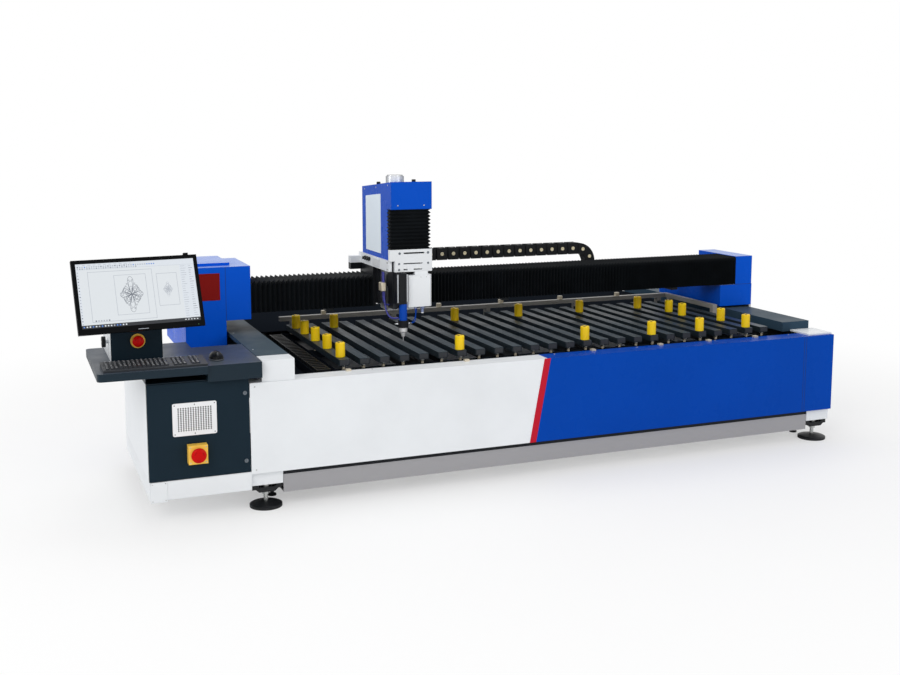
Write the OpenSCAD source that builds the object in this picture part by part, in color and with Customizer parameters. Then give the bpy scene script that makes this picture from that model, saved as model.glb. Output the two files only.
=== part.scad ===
// Flatbed gantry laser engraving machine with a side console.
// X runs along the front panel, Y runs from the front to the back, Z is up.
// The origin is the centre of the front left levelling pad, on the floor.

/* [Bed] */
// Length of the front panel
bed_len = 3240; // [3000:10:3600]
// Depth of the bed from the front panel to the rear panel
bed_depth = 2000; // [1950:10:2300]
// Height of the panel tops above the floor
bed_top = 590; // [560:5:640]
// Height of the panel bottoms above the floor
bed_bottom = 172; // [150:2:220]
// Thickness of the folded sheet panels
sheet_t = 3; // [2:0.5:4]
// Width of the flange folded back from the top of the front panel
flange_w = 105; // [100:1:125]
// Place of the slanted joint along the top of the front panel
joint_top_x = 1480; // [1200:10:1800]
// How far the slanted joint leans from top to bottom
joint_lean = 77; // [40:1:120]
// Width of the red stripe over the slanted joint
stripe_w = 34; // [20:1:60]
// Distance of the left bed side from the end of the front panel
side_inset = 50; // [46:1:54]

/* [Frame] */
// Side of the square frame tubes
tube_w = 80; // [60:5:90]
// Wall of the frame tubes
tube_t = 5; // [3:0.5:8]
// Height of the lower beam's underside above the floor
low_beam_z = 66; // [50:2:90]
// Number of cross tubes under the table
cross_n = 6; // [4:1:8]

/* [Feet] */
// Diameter of the levelling pads
pad_d = 149; // [120:1:160]
// Distance of the pads from the bed ends
foot_inset_x = 75; // [75:1:90]
// Distance of the pads from the bed front and back
foot_inset_y = 60; // [60:1:80]
// Diameter of the levelling studs
stud_d = 20; // [16:1:30]
// Diameter of the small support pads
small_pad_d = 40; // [30:1:60]

/* [Slat table] */
// Number of slats
slat_n = 25; // [20:1:25]
// Distance from one slat to the next
slat_pitch = 100; // [90:1:100]
// Width of a slat tube
slat_w = 50; // [40:1:60]
// Height of a slat tube
slat_h = 30; // [25:1:40]
// Wall of a slat tube
slat_t = 2.5; // [2:0.5:4]
// Length of the slats
slat_len = 1042; // [900:1:1060]
// Left edge of the first slat
slat_x0 = 459; // [455:1:480]
// Gap between the front flange and the slat ends
slat_gap = 45; // [40:1:60]
// Height of the slat tops above the panel tops
slat_rise = 42; // [38:1:50]
// Diameter of the yellow stops
stop_d = 46; // [40:1:48]
// Height of the yellow stops
stop_h = 72; // [60:1:90]

/* [Rail covers] */
// Left edge of the left rail cover
cover_l_x = 57; // [56:1:58]
// Width of the left rail cover
cover_l_w = 150; // [145:1:160]
// Height of the left rail cover above the panel tops
cover_l_h = 98; // [90:1:110]
// Left edge of the right rail cover, measured back from the right bed end
cover_r_back = 207; // [200:1:215]
// Width of the right rail cover
cover_r_w = 178; // [170:1:180]
// Height of the right rail cover above the panel tops
cover_r_h = 52; // [50:1:56]
// Wall of the rail covers
cover_t = 4; // [3:0.5:5]
// Length of the white caps at the ends of the left cover
cap_len = 106; // [90:1:110]

/* [Gantry] */
// Distance from the front panel to the front of the gantry
gantry_y = 731; // [728:1:760]
// Depth of the upper gantry end boxes
block_depth = 390; // [370:1:395]
// Depth of the long lower gantry boxes
leg_depth = 669; // [640:1:669]
// Height of the bellows' underside above the floor
bellows_z = 784; // [780:1:790]
// Height of the beam bellows
bellows_h = 165; // [162:1:175]
// Depth of the beam bellows
bellows_d = 220; // [215:1:235]
// Depth of a pleat in the beam bellows
pleat_d = 18; // [12:1:20]
// Pleats in the left beam bellows
pleats_left = 25; // [15:1:35]
// Pleats in the right beam bellows
pleats_right = 103; // [60:1:120]
// Rise of the left end box over the beam bellows
left_block_rise = 78; // [51:1:111]
// Reach of the left leg beyond the front panel's left end
left_leg_out = 162; // [140:1:180]
// Left face of the beam, where the left end box stops
beam_x0 = 168; // [160:1:180]
// Distance of the right end box's inner face from the right bed end
beam_end_back = 129; // [125:1:135]
// Wall of the end boxes
block_t = 4; // [3:0.5:5]
// Side of the square red plate
plate_side = 136; // [110:1:150]

/* [Cable chain] */
// Height of a cable chain link
link_h = 69; // [60:1:70]
// Width of the cable chain
link_w = 60; // [50:1:62]
// Length of a cable chain link
link_l = 72; // [50:1:80]
// Outer radius of the cable chain's bend
bend_r = 118; // [112:1:118]
// Place of the bend's centre along the beam
bend_x = 2253; // [2200:1:2300]

/* [Head] */
// Left face of the head cover
head_x = 825; // [815:1:835]
// Width of the head cover
head_w = 217; // [212:1:222]
// Front face of the head
head_y = 450; // [445:1:455]
// Depth of the head cover
head_d = 478; // [460:1:490]
// Height of the head cover's front edge above the floor
head_top = 1449; // [1430:1:1470]
// How much lower the head cover is at its back
head_slope = 42; // [20:1:60]
// Height of the head cover's underside above the beam bellows
head_over_beam = 102; // [102:1:107]
// Height of the carriage's saddle over the beam
saddle_h = 56; // [50:1:56]
// Height of the hood over the Z bellows
hood_h = 139; // [130:1:145]
// Pleats in the Z bellows
pleats_z = 11; // [8:1:14]
// Gap between the nozzle tip and the slat tops
nozzle_gap = 8; // [7:1:12]

/* [Console] */
// Width of the console cabinet
console_w = 447; // [440:1:460]
// Depth of the console's tall front part
console_d = 405; // [395:1:410]
// Depth of the console's low rear part
console_rear_d = 495; // [450:1:520]
// Height of the console base beam's underside
base_z = 100; // [90:1:110]
// Height of the console base beam
base_h = 84; // [78:1:90]
// Thickness of the folded door
door_t = 18; // [18:1:20]
// Height of the desk's top above the floor
desk_z = 690; // [688:1:700]
// Height of the deep part of the desk
desk_h = 72; // [68:1:76]
// Thickness of the keyboard shelf
shelf_t = 34; // [28:1:38]
// Reach of the keyboard shelf beyond the cabinet's left side
shelf_out = 203; // [190:1:220]
// Width of the vent plate
vent_w = 192; // [180:1:210]
// Height of the vent plate
vent_h = 147; // [140:1:160]
// Closed rim of the vent plate around its holes
vent_rim = 20; // [16:1:28]
// Side of the square vent holes
vent_hole = 6; // [4:0.5:7]
// Side of the lower emergency stop's square box
stop_box = 84; // [75:1:90]
// Diameter of the emergency stop heads
stop_head_d = 66; // [60:1:70]

/* [Desk things] */
// Width of the keyboard
keyboard_w = 440; // [430:1:445]
// Depth of the keyboard
keyboard_d = 150; // [145:1:160]
// Width of the mouse
mouse_w = 64; // [58:1:70]
// Length of the mouse
mouse_l = 112; // [105:1:120]

/* [Monitor] */
// Width of the monitor
monitor_w = 542; // [520:1:560]
// Height of the monitor
monitor_h = 324; // [310:1:330]
// Thickness of the monitor
monitor_t = 42; // [38:1:46]
// Tilt of the monitor away from upright, in degrees
monitor_tilt = 20.8; // [16:0.1:22]
// Turn of the monitor towards the bed, in degrees
monitor_turn = 7; // [0:0.5:9]
// Height of the monitor's centre above the floor
monitor_z = 1005; // [1000:1:1012]
// Width of the monitor post
post_w = 222; // [210:1:230]
// Depth of the monitor post
post_d = 370; // [360:1:372]

/* [Hidden] */

// --- Derived places -------------------------------------------------------
E = 1;                          // overlap that lets a cut run past a face
SLIP = 0.5;                     // running gap between sliding pieces
PIN_GAP = 0.05;                 // radial clearance of the hinge pins
SEAM = 0.2;                     // gap where two tubes or sheets of one node meet

// Frame
low_beam_top = bed_bottom;
top_ring_z = bed_top - sheet_t - tube_w;
cross_z = top_ring_z - tube_w / 2;
cross_top = cross_z + tube_w;
block_half = 73;                // half the width of a white foot block
block_x1 = foot_inset_x + block_half;
block_y1 = foot_inset_y + 100;
block_z = 111;                  // underside of the white foot blocks
pad_h = 12;

// Slat table
slat_y0 = flange_w + slat_gap;
slat_y1 = slat_y0 + slat_len;
slat_top = bed_top + slat_rise;
slat_z = slat_top - slat_h;
table_x1 = slat_x0 + (slat_n - 1) * slat_pitch + slat_w;
bearer_h = 34;
bearer_w = 40;
bearer_y = [slat_y0, (slat_y0 + slat_y1 - bearer_w) / 2, slat_y1 - bearer_w];

// Stops stand on slats: [slat number, distance behind the slat ends]
front_stops = [[0, 70], [6, 30], [13, 30], [17, 30], [20, 30], [23, 30]];
left_stops = [[0, 300], [0, 520], [0, 735], [0, 920]];
rear_stops = [[2, 870], [9, 830], [13, 830], [17, 830], [21, 830]];
right_stops = [[23, 260], [22, 500], [22, 640]];
all_stops = concat(front_stops, left_stops, rear_stops, right_stops);

// Edge bars behind and beside the slats
bar_w = 30;
bar_h = 24;
bar_posts = 5;
bar_top = bed_top + 83;
bar_y = slat_y1 + 22;
bar_x0 = slat_x0 - 30;
bar_x1 = table_x1 + 50;
side_bar_len = 520;

// Rails and covers
rail_h = 18;
rail_w = 24;
rail_z = bed_top - sheet_t;
rail_l_x = cover_l_x + 62;
rail_r_x = bed_len - cover_r_back + 100;
rail_y0 = cap_len + 4;
rail_y1 = bed_depth - cap_len - 4;
cover_r_x = bed_len - cover_r_back;
cover_r_y0 = 178;
base_plate_z = rail_z + rail_h + 13;
base_plate = [base_plate_z, base_plate_z + 14];
base_depth = leg_depth - 70;

// Gantry
beam_x1 = bed_len - beam_end_back;
bellows_y1 = gantry_y + bellows_d;
bellows_top = bellows_z + bellows_h;
left_block_top = bellows_top + left_block_rise;
head_base = bellows_top + head_over_beam;
bellows_wall = 2;
beam_y0 = gantry_y + pleat_d + 26;
beam_y1 = bellows_y1 - pleat_d - 8;
beam_z0 = bellows_z + 16;
beam_z1 = bellows_top - pleat_d - 6;
left_leg_x = side_inset - 8;
leg_bottom = bed_top - 10;
lower_box_x = bed_len - 236;
lower_box_z = bed_top + cover_r_h + 12;
lower_box_top = bellows_z - 1;
block_back = gantry_y + block_depth;
leg_back = gantry_y + leg_depth;

// Cable chain
chain_y0 = block_back + 9;
chain_top = left_block_top + 4;
bend_z = chain_top - bend_r;
chain_run_z = bend_z - bend_r;
chain_end_x = head_x + head_w + 6;
lower_run = 1350;
tray_lid_past = 897;            // how far the tray's lid runs past the fixed end of the chain
tray_floor = chain_run_z - 5;
lid_z = chain_run_z + link_h + 4;
tray_lid_x1 = bend_x - lower_run + tray_lid_past;
tray_x0 = beam_x0 + 132;
tray_x1 = bed_len - 12;
tray_t = 3;

// Head
head_x1 = head_x + head_w;
z_plate_t = 20;
z_front_z = head_top - hood_h;
z_bellows_d = 51;
plate_split = head_base - 1;
plate_low_z = plate_split - 56;
nozzle_x = head_x + 60;
nozzle_z = slat_top + nozzle_gap;
nozzle_len = 72;
collar_h = 36;
collar_r = 27;
tube_r = 20;
side_panel_inset = [165, 66, 24, 52];   // from the cover's front, back, underside and roof
carrier_x = head_x + 14;
bar_t = 18;
saddle_z = head_base - saddle_h;
column_y0 = gantry_y - 141;
column_y1 = gantry_y - 12;
rail_pair = [head_x + 25, head_x + 165];

// Console
console_x = -console_w;
cabinet_y0 = door_t + 3;
cabinet_y1 = cabinet_y0 + console_d;
cabinet_z0 = base_z + base_h;
base_depth_y = cabinet_y1 + console_rear_d;
base_plate_drop = 8;
shelf_x = console_x - shelf_out;
shelf_x1 = -187;
desk_x1 = side_inset + 2;
desk_y0 = -30;
shelf_y0 = -45;
door_top = desk_z - desk_h;
door_z1 = door_top - 1;
header_t = 4;
cabinet_top = door_top + header_t + 0.5;
rear_top = leg_bottom - 20;
hinge_x = console_x + 6;
hinge_y = door_t / 2;
hinge_r = 3;
door_z0 = cabinet_z0 + 2;
lock_z = [door_z0 + 53, door_top - 69];
lock_x = -22;
vent_x = console_x + 106;
vent_z = door_z0 + 194;
stop_box_x = console_x + 165;
stop_box_z = door_z0 + 72;
lower_head = [stop_box_x + stop_box / 2, stop_box_z + stop_box / 2];
stem_r = 11;

// Monitor post and monitor
post_x0 = console_x - 122;
post_y0 = 190;
post_top = monitor_z + 40;
post_skin = 12;
upper_head = [post_x0 + post_w / 2 + 4, desk_z + 92];
monitor_at = [console_x - 3, 96, monitor_z];
pivot_back = 62;
bezel = 17;
chin = 25;
screen_z = [chin - monitor_h / 2, monitor_h / 2 - bezel];

// --- Helpers --------------------------------------------------------------
// A block between two limits along each axis
module span(x, y, z) {
    translate([x[0], y[0], z[0]]) cube([x[1] - x[0], y[1] - y[0], z[1] - z[0]]);
}

// Square tubes along each axis, open at both ends
module tube_x(x, y, z, t = tube_t) {
    difference() {
        span(x, y, z);
        span([x[0] - E, x[1] + E], [y[0] + t, y[1] - t], [z[0] + t, z[1] - t]);
    }
}
module tube_y(x, y, z, t = tube_t) {
    difference() {
        span(x, y, z);
        span([x[0] + t, x[1] - t], [y[0] - E, y[1] + E], [z[0] + t, z[1] - t]);
    }
}

// A sheet box open towards one side; open is the side that has no wall
module shell(x, y, z, t, open) {
    difference() {
        span(x, y, z);
        span([x[0] + (open == "-x" ? -E : t), x[1] + (open == "+x" ? E : -t)],
             [y[0] + (open == "-y" ? -E : t), y[1] + (open == "+y" ? E : -t)],
             [z[0] + (open == "-z" ? -E : t), z[1] + (open == "+z" ? E : -t)]);
    }
}

// Round bars along each axis
// Outline of a rectangle with rounded corners
function rounded(x, y, r) = [for (c = [[x[1] - r, y[1] - r, 0], [x[0] + r, y[1] - r, 90],
                                       [x[0] + r, y[0] + r, 180], [x[1] - r, y[0] + r, 270]])
    for (a = [0 : 22.5 : 90]) [c[0] + r * cos(c[2] + a), c[1] + r * sin(c[2] + a)]];
// Single sheets of a box with one open side
module sheets(x, y, z, t, open) {
    walls = [z[0] + (open == "-z" ? 0 : t + SEAM), z[1] - (open == "+z" ? 0 : t + SEAM)];
    between = [x[0] + t + SEAM, x[1] - t - SEAM];
    if (open != "-z") span(x, y, [z[0], z[0] + t]);
    if (open != "+z") span(x, y, [z[1] - t, z[1]]);
    span([x[0], x[0] + t], y, walls);
    span([x[1] - t, x[1]], y, walls);
    if (open != "-y") span(between, [y[0], y[0] + t], walls);
    if (open != "+y") span(between, [y[1] - t, y[1]], walls);
}
module rod_y(x, y, z, r) {
    translate([x, y[0], z]) rotate([-90, 0, 0]) cylinder(r = r, h = y[1] - y[0], $fn = 48);
}
module rod_z(x, y, z, r, fn = 48) {
    translate([x, y, z[0]]) cylinder(r = r, h = z[1] - z[0], $fn = fn);
}

// Everything is placed from the front left pad's centre
module at_datum() {
    translate([-foot_inset_x, -foot_inset_y, 0]) children();
}

// --- Bed ------------------------------------------------------------------
// X positions of the cross tubes, spread evenly under the slats
function cross_x(i) = slat_x0 + (table_x1 - slat_x0 - tube_w) * i / (cross_n - 1);

module bed_frame() {
    front = [22, 22 + tube_w];
    rear = [bed_depth - 22 - tube_w, bed_depth - 22];
    inner = [front[1] + SEAM, rear[0] - SEAM];
    ends = [[side_inset + 12, side_inset + 12 + tube_w],
            [bed_len - 60 - tube_w, bed_len - 60]];
    color("silver") {
        for (y = [front, rear]) {
            tube_x([block_x1 + 2, bed_len - block_x1 - 2], y, [low_beam_z, low_beam_top]);
            tube_x([ends[0][0], ends[1][1]], y, [top_ring_z, rail_z]);
            for (x = concat([for (e = ends) e[0]], [bed_len / 2 - tube_w / 2]))
                span([x, x + tube_w], y, [low_beam_top + SEAM, top_ring_z - SEAM]);
        }
        for (x = ends) {
            tube_y(x, [block_y1, bed_depth - block_y1], [low_beam_z, low_beam_top]);
            tube_y(x, inner, [top_ring_z, rail_z]);
        }
        for (i = [0 : cross_n - 1])
            tube_y([cross_x(i), cross_x(i) + tube_w], inner, [cross_z, cross_top]);
    }
}

// Places of the four corner feet
function corners() = [for (x = [foot_inset_x, bed_len - foot_inset_x])
    for (y = [foot_inset_y, bed_depth - foot_inset_y]) [x, y]];
// The small support pads stand inside the corners
function inner_pads() = [for (c = corners())
    [c[0] < bed_len / 2 ? c[0] + 60 : c[0] - 16, c[1] < bed_depth / 2 ? c[1] + 137 : c[1] - 137]];

module levelling_pads() {
    color("#15181b") {
        for (c = corners()) {
            translate([c[0], c[1], 0]) rotate_extrude($fn = 64)
                polygon([[0, 0], [pad_d / 2, 0], [pad_d / 2, pad_h],
                         [pad_d / 2 - 8, pad_h + 4], [stud_d, pad_h + 14], [0, pad_h + 14]]);
            clamp(c);
        }
        for (c = inner_pads()) {
            rod_z(c[0], c[1], [0, 8], small_pad_d / 2);
            rod_z(c[0], c[1], [8, low_beam_z], 9, 32);
        }
    }
}

// The angular black bracket that grips a stud under its foot block
module clamp(c) {
    difference() {
        translate([c[0], c[1] + 30, block_z - 38]) rotate([90, 0, 0]) linear_extrude(60)
            polygon([[-68, 38], [-68, 14], [-52, 14], [-36, 0], [36, 0], [52, 14],
                     [68, 14], [68, 38], [50, 38], [36, 22], [-36, 22], [-50, 38]]);
        rod_z(c[0], c[1], [block_z - 38 - E, block_z + E], stud_d / 2 + PIN_GAP);
    }
}

module foot_studs() {
    color("lightgrey") for (c = corners()) {
        rod_z(c[0], c[1], [pad_h + 14, block_z - 22], stud_d / 2);
        rod_z(c[0], c[1], [block_z - 52, block_z - 39], stud_d * 0.85, 6);
        rod_z(c[0], c[1], [block_z - 16, block_z], stud_d * 0.85, 6);
        rod_z(c[0], c[1], [block_z - 22, block_z - 16], stud_d / 2);
    }
}

// Leg end with an open side towards the middle of the bed
module foot_block(c, y, open) {
    shell([c[0] - block_half, c[0] + block_half], y, [block_z, low_beam_top], 5, open);
}

module foot_blocks() {
    color("white") for (c = corners())
        if (c[1] < bed_depth / 2)
            foot_block(c, [c[1] - 40, block_y1], "+y");
        else
            foot_block(c, [bed_depth - block_y1, c[1] + 40], "-y");
}

// A sloping front edge shared by both front panels; end is the side that stays
module front_sheet(x0, x1) {
    joint_low_x = joint_top_x - joint_lean;
    left = x0 == 0;
    translate([0, sheet_t, 0]) rotate([90, 0, 0]) linear_extrude(sheet_t)
        polygon([[left ? x0 : joint_low_x, bed_bottom], [left ? joint_low_x : x1, bed_bottom],
                 [left ? joint_top_x : x1, bed_top], [left ? x0 : joint_top_x, bed_top]]);
    span([left ? x0 : joint_top_x, left ? joint_top_x : x1], [sheet_t, flange_w],
         [bed_top - sheet_t, bed_top]);
    span([left ? x0 : joint_low_x, left ? joint_low_x : x1], [sheet_t, 20],
         [bed_bottom, bed_bottom + sheet_t]);
}

module front_panel_white() {
    color("whitesmoke") front_sheet(0, joint_top_x);
}

module front_panel_blue() {
    color("#0344a8") {
        front_sheet(joint_top_x, bed_len);
        span([bed_len - sheet_t, bed_len], [sheet_t, flange_w], [bed_bottom + sheet_t, bed_top - sheet_t]);
    }
}

module red_stripe() {
    half = stripe_w / 2;
    low = joint_top_x - joint_lean;
    color("#c01228") rotate([90, 0, 0]) linear_extrude(1)
        polygon([[low - half, bed_bottom], [low + half, bed_bottom],
                 [joint_top_x + half, bed_top], [joint_top_x - half, bed_top]]);
}

module side_panels() {
    color("whitesmoke") {
        span([side_inset, side_inset + sheet_t], [cabinet_y1, bed_depth - sheet_t], [bed_bottom, rail_z]);
        span([bed_len - sheet_t, bed_len], [flange_w, bed_depth - sheet_t], [bed_bottom, rail_z]);
        span([side_inset, bed_len], [bed_depth - sheet_t, bed_depth], [bed_bottom, bed_top]);
    }
}

// Dark sheets: the deck behind the table and the left chain trough
module deck_sheets() {
    deck_x0 = cover_l_x + cover_l_w + 2;
    deck_x1 = cover_r_x - 2;
    trough = [deck_x0 + 118, slat_x0 - 20];
    color("#2c3036") {
        span([deck_x0, deck_x1], [bar_y + bar_w, bed_depth - sheet_t], [rail_z, bed_top]);
        difference() {
            span(trough, [flange_w + 2, bar_y], [cross_top, bed_top]);
            span([trough[0] + 3, trough[1] - 3], [flange_w + 5, bar_y + E], [cross_top + 3, bed_top + E]);
        }
        span([deck_x0, trough[0]], [flange_w + 2, bar_y + bar_w], [cross_top, cross_top + 3]);
        span([slat_x0 + 20, deck_x1], [bar_y - 8, bar_y + bar_w], [cross_top, cross_top + 3]);
    }
}

module rail_end_caps() {
    x = [cover_l_x, cover_l_x + cover_l_w];
    top = bed_top + cover_l_h;
    color("white") {
        shell(x, [5, cap_len + 4], [bed_top, top], sheet_t, "-z");
        shell(x, [rail_y1, bed_depth], [bed_top, top], sheet_t, "-z");
        span([bed_len - 155, bed_len], [20, cover_r_y0], [bed_top, bed_top + 9]);
        shell([cover_r_x, cover_r_x + cover_r_w], [rail_y1, bed_depth],
              [bed_top, bed_top + cover_r_h], sheet_t, "-z");
    }
}

// A cover: top plate, inner wall, and a short outer lip that leaves room for the gantry plates
module rail_cover(x, y, top, inner_left) {
    lip = 16;
    inner = inner_left ? [x[0], x[0] + cover_t] : [x[1] - cover_t, x[1]];
    outer = inner_left ? [x[1] - cover_t, x[1]] : [x[0], x[0] + cover_t];
    span(x, y, [top - cover_t, top]);
    span(inner, y, [bed_top, top - cover_t]);
    if (!inner_left) span(outer, y, [top - cover_t - lip, top - cover_t]);
}

module rail_covers() {
    color("#4c5a64") {
        rail_cover([cover_l_x, cover_l_x + cover_l_w], [cap_len + 4, rail_y1], bed_top + cover_l_h, false);
        rail_cover([cover_r_x, cover_r_x + cover_r_w], [cover_r_y0 + cover_t, rail_y1], bed_top + cover_r_h, true);
        span([cover_r_x, cover_r_x + cover_r_w], [cover_r_y0, cover_r_y0 + cover_t],
             [bed_top, bed_top + cover_r_h]);
    }
}

module y_guides() {
    color("grey") for (x = [rail_l_x, rail_r_x]) {
        span([x - rail_w / 2, x + rail_w / 2], [x < bed_len / 2 ? rail_y0 : cover_r_y0 + cover_t, rail_y1], [rail_z, rail_z + rail_h]);
        magnet_track(x < bed_len / 2 ? x - 46 : x + 18);
    }
}

// A row of flat magnets on a steel strip beside each rail
module magnet_track(x) {
    span([x, x + 28], [rail_y0 + 90, rail_y1 - 30], [rail_z, rail_z + 8]);
}

module slats() {
    color("#2b3138") for (i = [0 : slat_n - 1]) {
        x = slat_x0 + i * slat_pitch;
        tube_y([x, x + slat_w], [slat_y0, slat_y1], [slat_z, slat_top], slat_t);
    }
}

module slat_bearers() {
    color("#1d2126") for (y = bearer_y)
        tube_x([slat_x0 - 20, table_x1 + 10], [y, y + bearer_w], [cross_top, cross_top + bearer_h], 3);
}

// Screw feet that level each slat, and the small blocks beside the stops
module table_fittings() {
    color("tan") {
        for (i = [0 : slat_n - 1]) for (y = bearer_y)
            rod_z(slat_x0 + i * slat_pitch + slat_w / 2, y + bearer_w / 2,
                  [cross_top + bearer_h, slat_z], 7, 24);
        for (s = front_stops)
            span(stop_span(s), [flange_w - 24, flange_w - 2], [bed_top, bed_top + 9]);
        for (s = rear_stops)
            span(stop_span(s), [bar_y + 4, bar_y + bar_w - 4], [bar_top, bar_top + 22]);
    }
}
function stop_x(s) = slat_x0 + s[0] * slat_pitch + slat_w / 2;
function stop_span(s) = [stop_x(s) - 12, stop_x(s) + 12];

module edge_bars() {
    color("silver") {
        tube_x([bar_x0, bar_x1], [bar_y, bar_y + bar_w], [bar_top - bar_h, bar_top], 3);
        span([bar_x1 - bar_w, bar_x1], [bar_y - side_bar_len, bar_y - SEAM], [bar_top - bar_h, bar_top]);
        for (k = [0 : bar_posts - 1]) let (x = bar_x0 + 60 + k * (bar_x1 - bar_x0 - 120 - bar_w) / (bar_posts - 1))
            span([x, x + bar_w], [bar_y, bar_y + bar_w], [cross_top + 3, bar_top - bar_h - SEAM]);
        for (y = [bar_y - side_bar_len, bar_y - bar_w - 20])
            span([bar_x1 - bar_w, bar_x1], [y, y + bar_w], [cross_top, bar_top - bar_h - SEAM]);
    }
}

// A rubbery stop: straight sides with rounded edges, screwed on top of a slat
module stops() {
    r = stop_d / 2;
    edge = 6;
    color("gold") for (s = all_stops)
        translate([stop_x(s), slat_y0 + s[1], slat_top]) rotate_extrude($fn = 48)
            polygon(concat([[0, 0], [r - 2, 0], [r, 2]],
                [for (a = [0 : 22.5 : 90]) [r - edge + edge * cos(a), stop_h - edge + edge * sin(a)]],
                [[0, stop_h]]));
}

// The cable chain that lies in the left trough: a spine with a raised rib on each link
module y_cable_chain() {
    x = [slat_x0 - 108, slat_x0 - 40];
    pitch = 40;
    count = floor((bar_y - slat_y0 - 50) / pitch);
    color("#111315") {
        span([x[0] + 5, x[1] - 5], [slat_y0, slat_y0 + count * pitch], [cross_top + 3, cross_top + 30]);
        for (i = [0 : count - 1]) {
            y = slat_y0 + i * pitch + 4;
            for (side = [[x[0], x[0] + 5], [x[1] - 5, x[1]]])
                span(side, [y, y + pitch - 12], [cross_top + 3, cross_top + 44]);
            span([x[0] + 5, x[1] - 5], [y + 6, y + 18], [cross_top + 30, cross_top + 44]);
        }
    }
}

// --- Console --------------------------------------------------------------
// The lower hinge pin stands on the base, the upper one hangs from the header
module hinge_pin(z) {
    rod_z(hinge_x, hinge_y, z, hinge_r);
}

module console_base() {
    plate = [console_x + 3, console_x + 75];
    color("whitesmoke") {
        sheets([console_x, 0], [0, base_depth_y], [base_z, cabinet_z0], 4, "-z");
        // Arms that carry the console on the side of the bed frame
        for (y = [250, base_depth_y - 190])
            tube_x([SEAM, side_inset + 12], [y, y + tube_w], [base_z + 4, base_z + 54]);
        hinge_pin([cabinet_z0 + SEAM, door_z0 + 12]);
        difference() {
            span(plate, [-3, -SEAM], [base_z - base_plate_drop, cabinet_z0]);
            for (x = plate) for (z = [base_z, cabinet_z0 - 8])
                rod_y(x + (x == plate[0] ? 8 : -8), [-3 - E, -1], z, 2.5);
        }
    }
}

module console_cabinet() {
    t = 3;
    window = [cabinet_z0 + 60, rear_top - 40];
    x = [console_x, -t];
    color("whitesmoke") {
        difference() {
            union() {
                sheets(x, [cabinet_y0, cabinet_y1], [cabinet_z0, cabinet_top], t, "-y");
                sheets(x, [cabinet_y1 + SEAM, base_depth_y], [cabinet_z0, rear_top], t, "-y");
            }
            span([x[0] + 40, x[1] - 40], [cabinet_y1 - t - E, cabinet_y1 + SEAM], window);
            for (z = [window[0] - SEAM, window[1]])
                span([x[0] + t, x[1] - t], [cabinet_y1 - t - E, cabinet_y1 + SEAM / 2], [z, z + SEAM]);
        }
        for (lip = [[x[0] + t + SEAM, x[0] + 12], [x[1] - 8, x[1] - t - SEAM]])
            span(lip, [cabinet_y0, cabinet_y0 + t], [cabinet_z0 + t + SEAM, cabinet_top - t - SEAM]);
        span(x, [0, cabinet_y0], [cabinet_top - t, cabinet_top]);
        hinge_pin([door_z1 - 12, cabinet_top - t - SEAM]);
        // Walls of the open slot under the keyboard shelf
        span([x[0], x[0] + t], [cabinet_y0, cabinet_y1], [cabinet_top + SEAM, desk_z - t]);
        span([x[0] + t + SEAM, shelf_x1 - t], [cabinet_y1 - t, cabinet_y1], [cabinet_top + SEAM, desk_z - t]);
    }
}

// Folded sheet desk: a thin shelf on the left and a deep box on the right
shelf_r = 22;
function shelf_plan(x, y, r) = concat([[x[1], y[0]], [x[1], y[1]]],
    [for (a = [90 : 15 : 180]) [x[0] + r + r * cos(a), y[1] - r + r * sin(a)]],
    [for (a = [180 : 15 : 270]) [x[0] + r + r * cos(a), y[0] + r + r * sin(a)]]);
module desk() {
    t = 3;
    shelf_back = post_y0 + post_d + 12;
    box_back = cabinet_y1 - 6;
    color("#2a323c") {
        difference() {
            translate([0, 0, desk_z - shelf_t]) linear_extrude(shelf_t)
                polygon(shelf_plan([shelf_x, shelf_x1], [shelf_y0, shelf_back], shelf_r));
            translate([0, 0, desk_z - shelf_t - E]) linear_extrude(shelf_t - t + E)
                polygon(shelf_plan([shelf_x + t, shelf_x1 - t], [shelf_y0 + t, shelf_back - t], shelf_r - t));
        }
        shell([shelf_x1, desk_x1], [desk_y0, box_back], [cabinet_top, desk_z], t, "-z");
        span([shelf_x1, desk_x1], [desk_y0, -1], [door_top, cabinet_top]);
    }
}

// The computer and the laser source inside the cabinet
unit_front = 110;               // free depth in front of the control units
module control_unit() {
    y = [cabinet_y0 + unit_front, cabinet_y1 - 12];
    z = cabinet_z0 + 3;
    color("dimgrey") {
        span([console_x + 60, console_x + 240], y, [z, z + 280]);
        span([console_x + 260, -40], y, [z, z + 140]);
    }
}

// Low wedge with rows of keys; gaps part the main, cursor and number keys
module keyboard() {
    pos = [shelf_x + 27, shelf_y0 + 25, desk_z];
    margin = 12;
    key = 19;
    rise = 8;
    columns = floor((keyboard_w - 2 * margin) / key);
    row_pitch = (keyboard_d - 2 * margin) / 6;
    color("#1b1d21") translate(pos) {
        rotate([90, 0, 90]) linear_extrude(keyboard_w)
            polygon([[0, 0], [keyboard_d, 0], [keyboard_d, 11 + rise], [keyboard_d - 4, 12 + rise],
                     [4, 10], [0, 8]]);
        for (r = [0 : 5]) for (c = [0 : columns - 1])
            if (c != 14 && c != 18)
                translate([margin + c * key, margin + r * row_pitch, 9 + rise * r / 6])
                    cube([key - 3, row_pitch - 3, 6]);
    }
}

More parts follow.
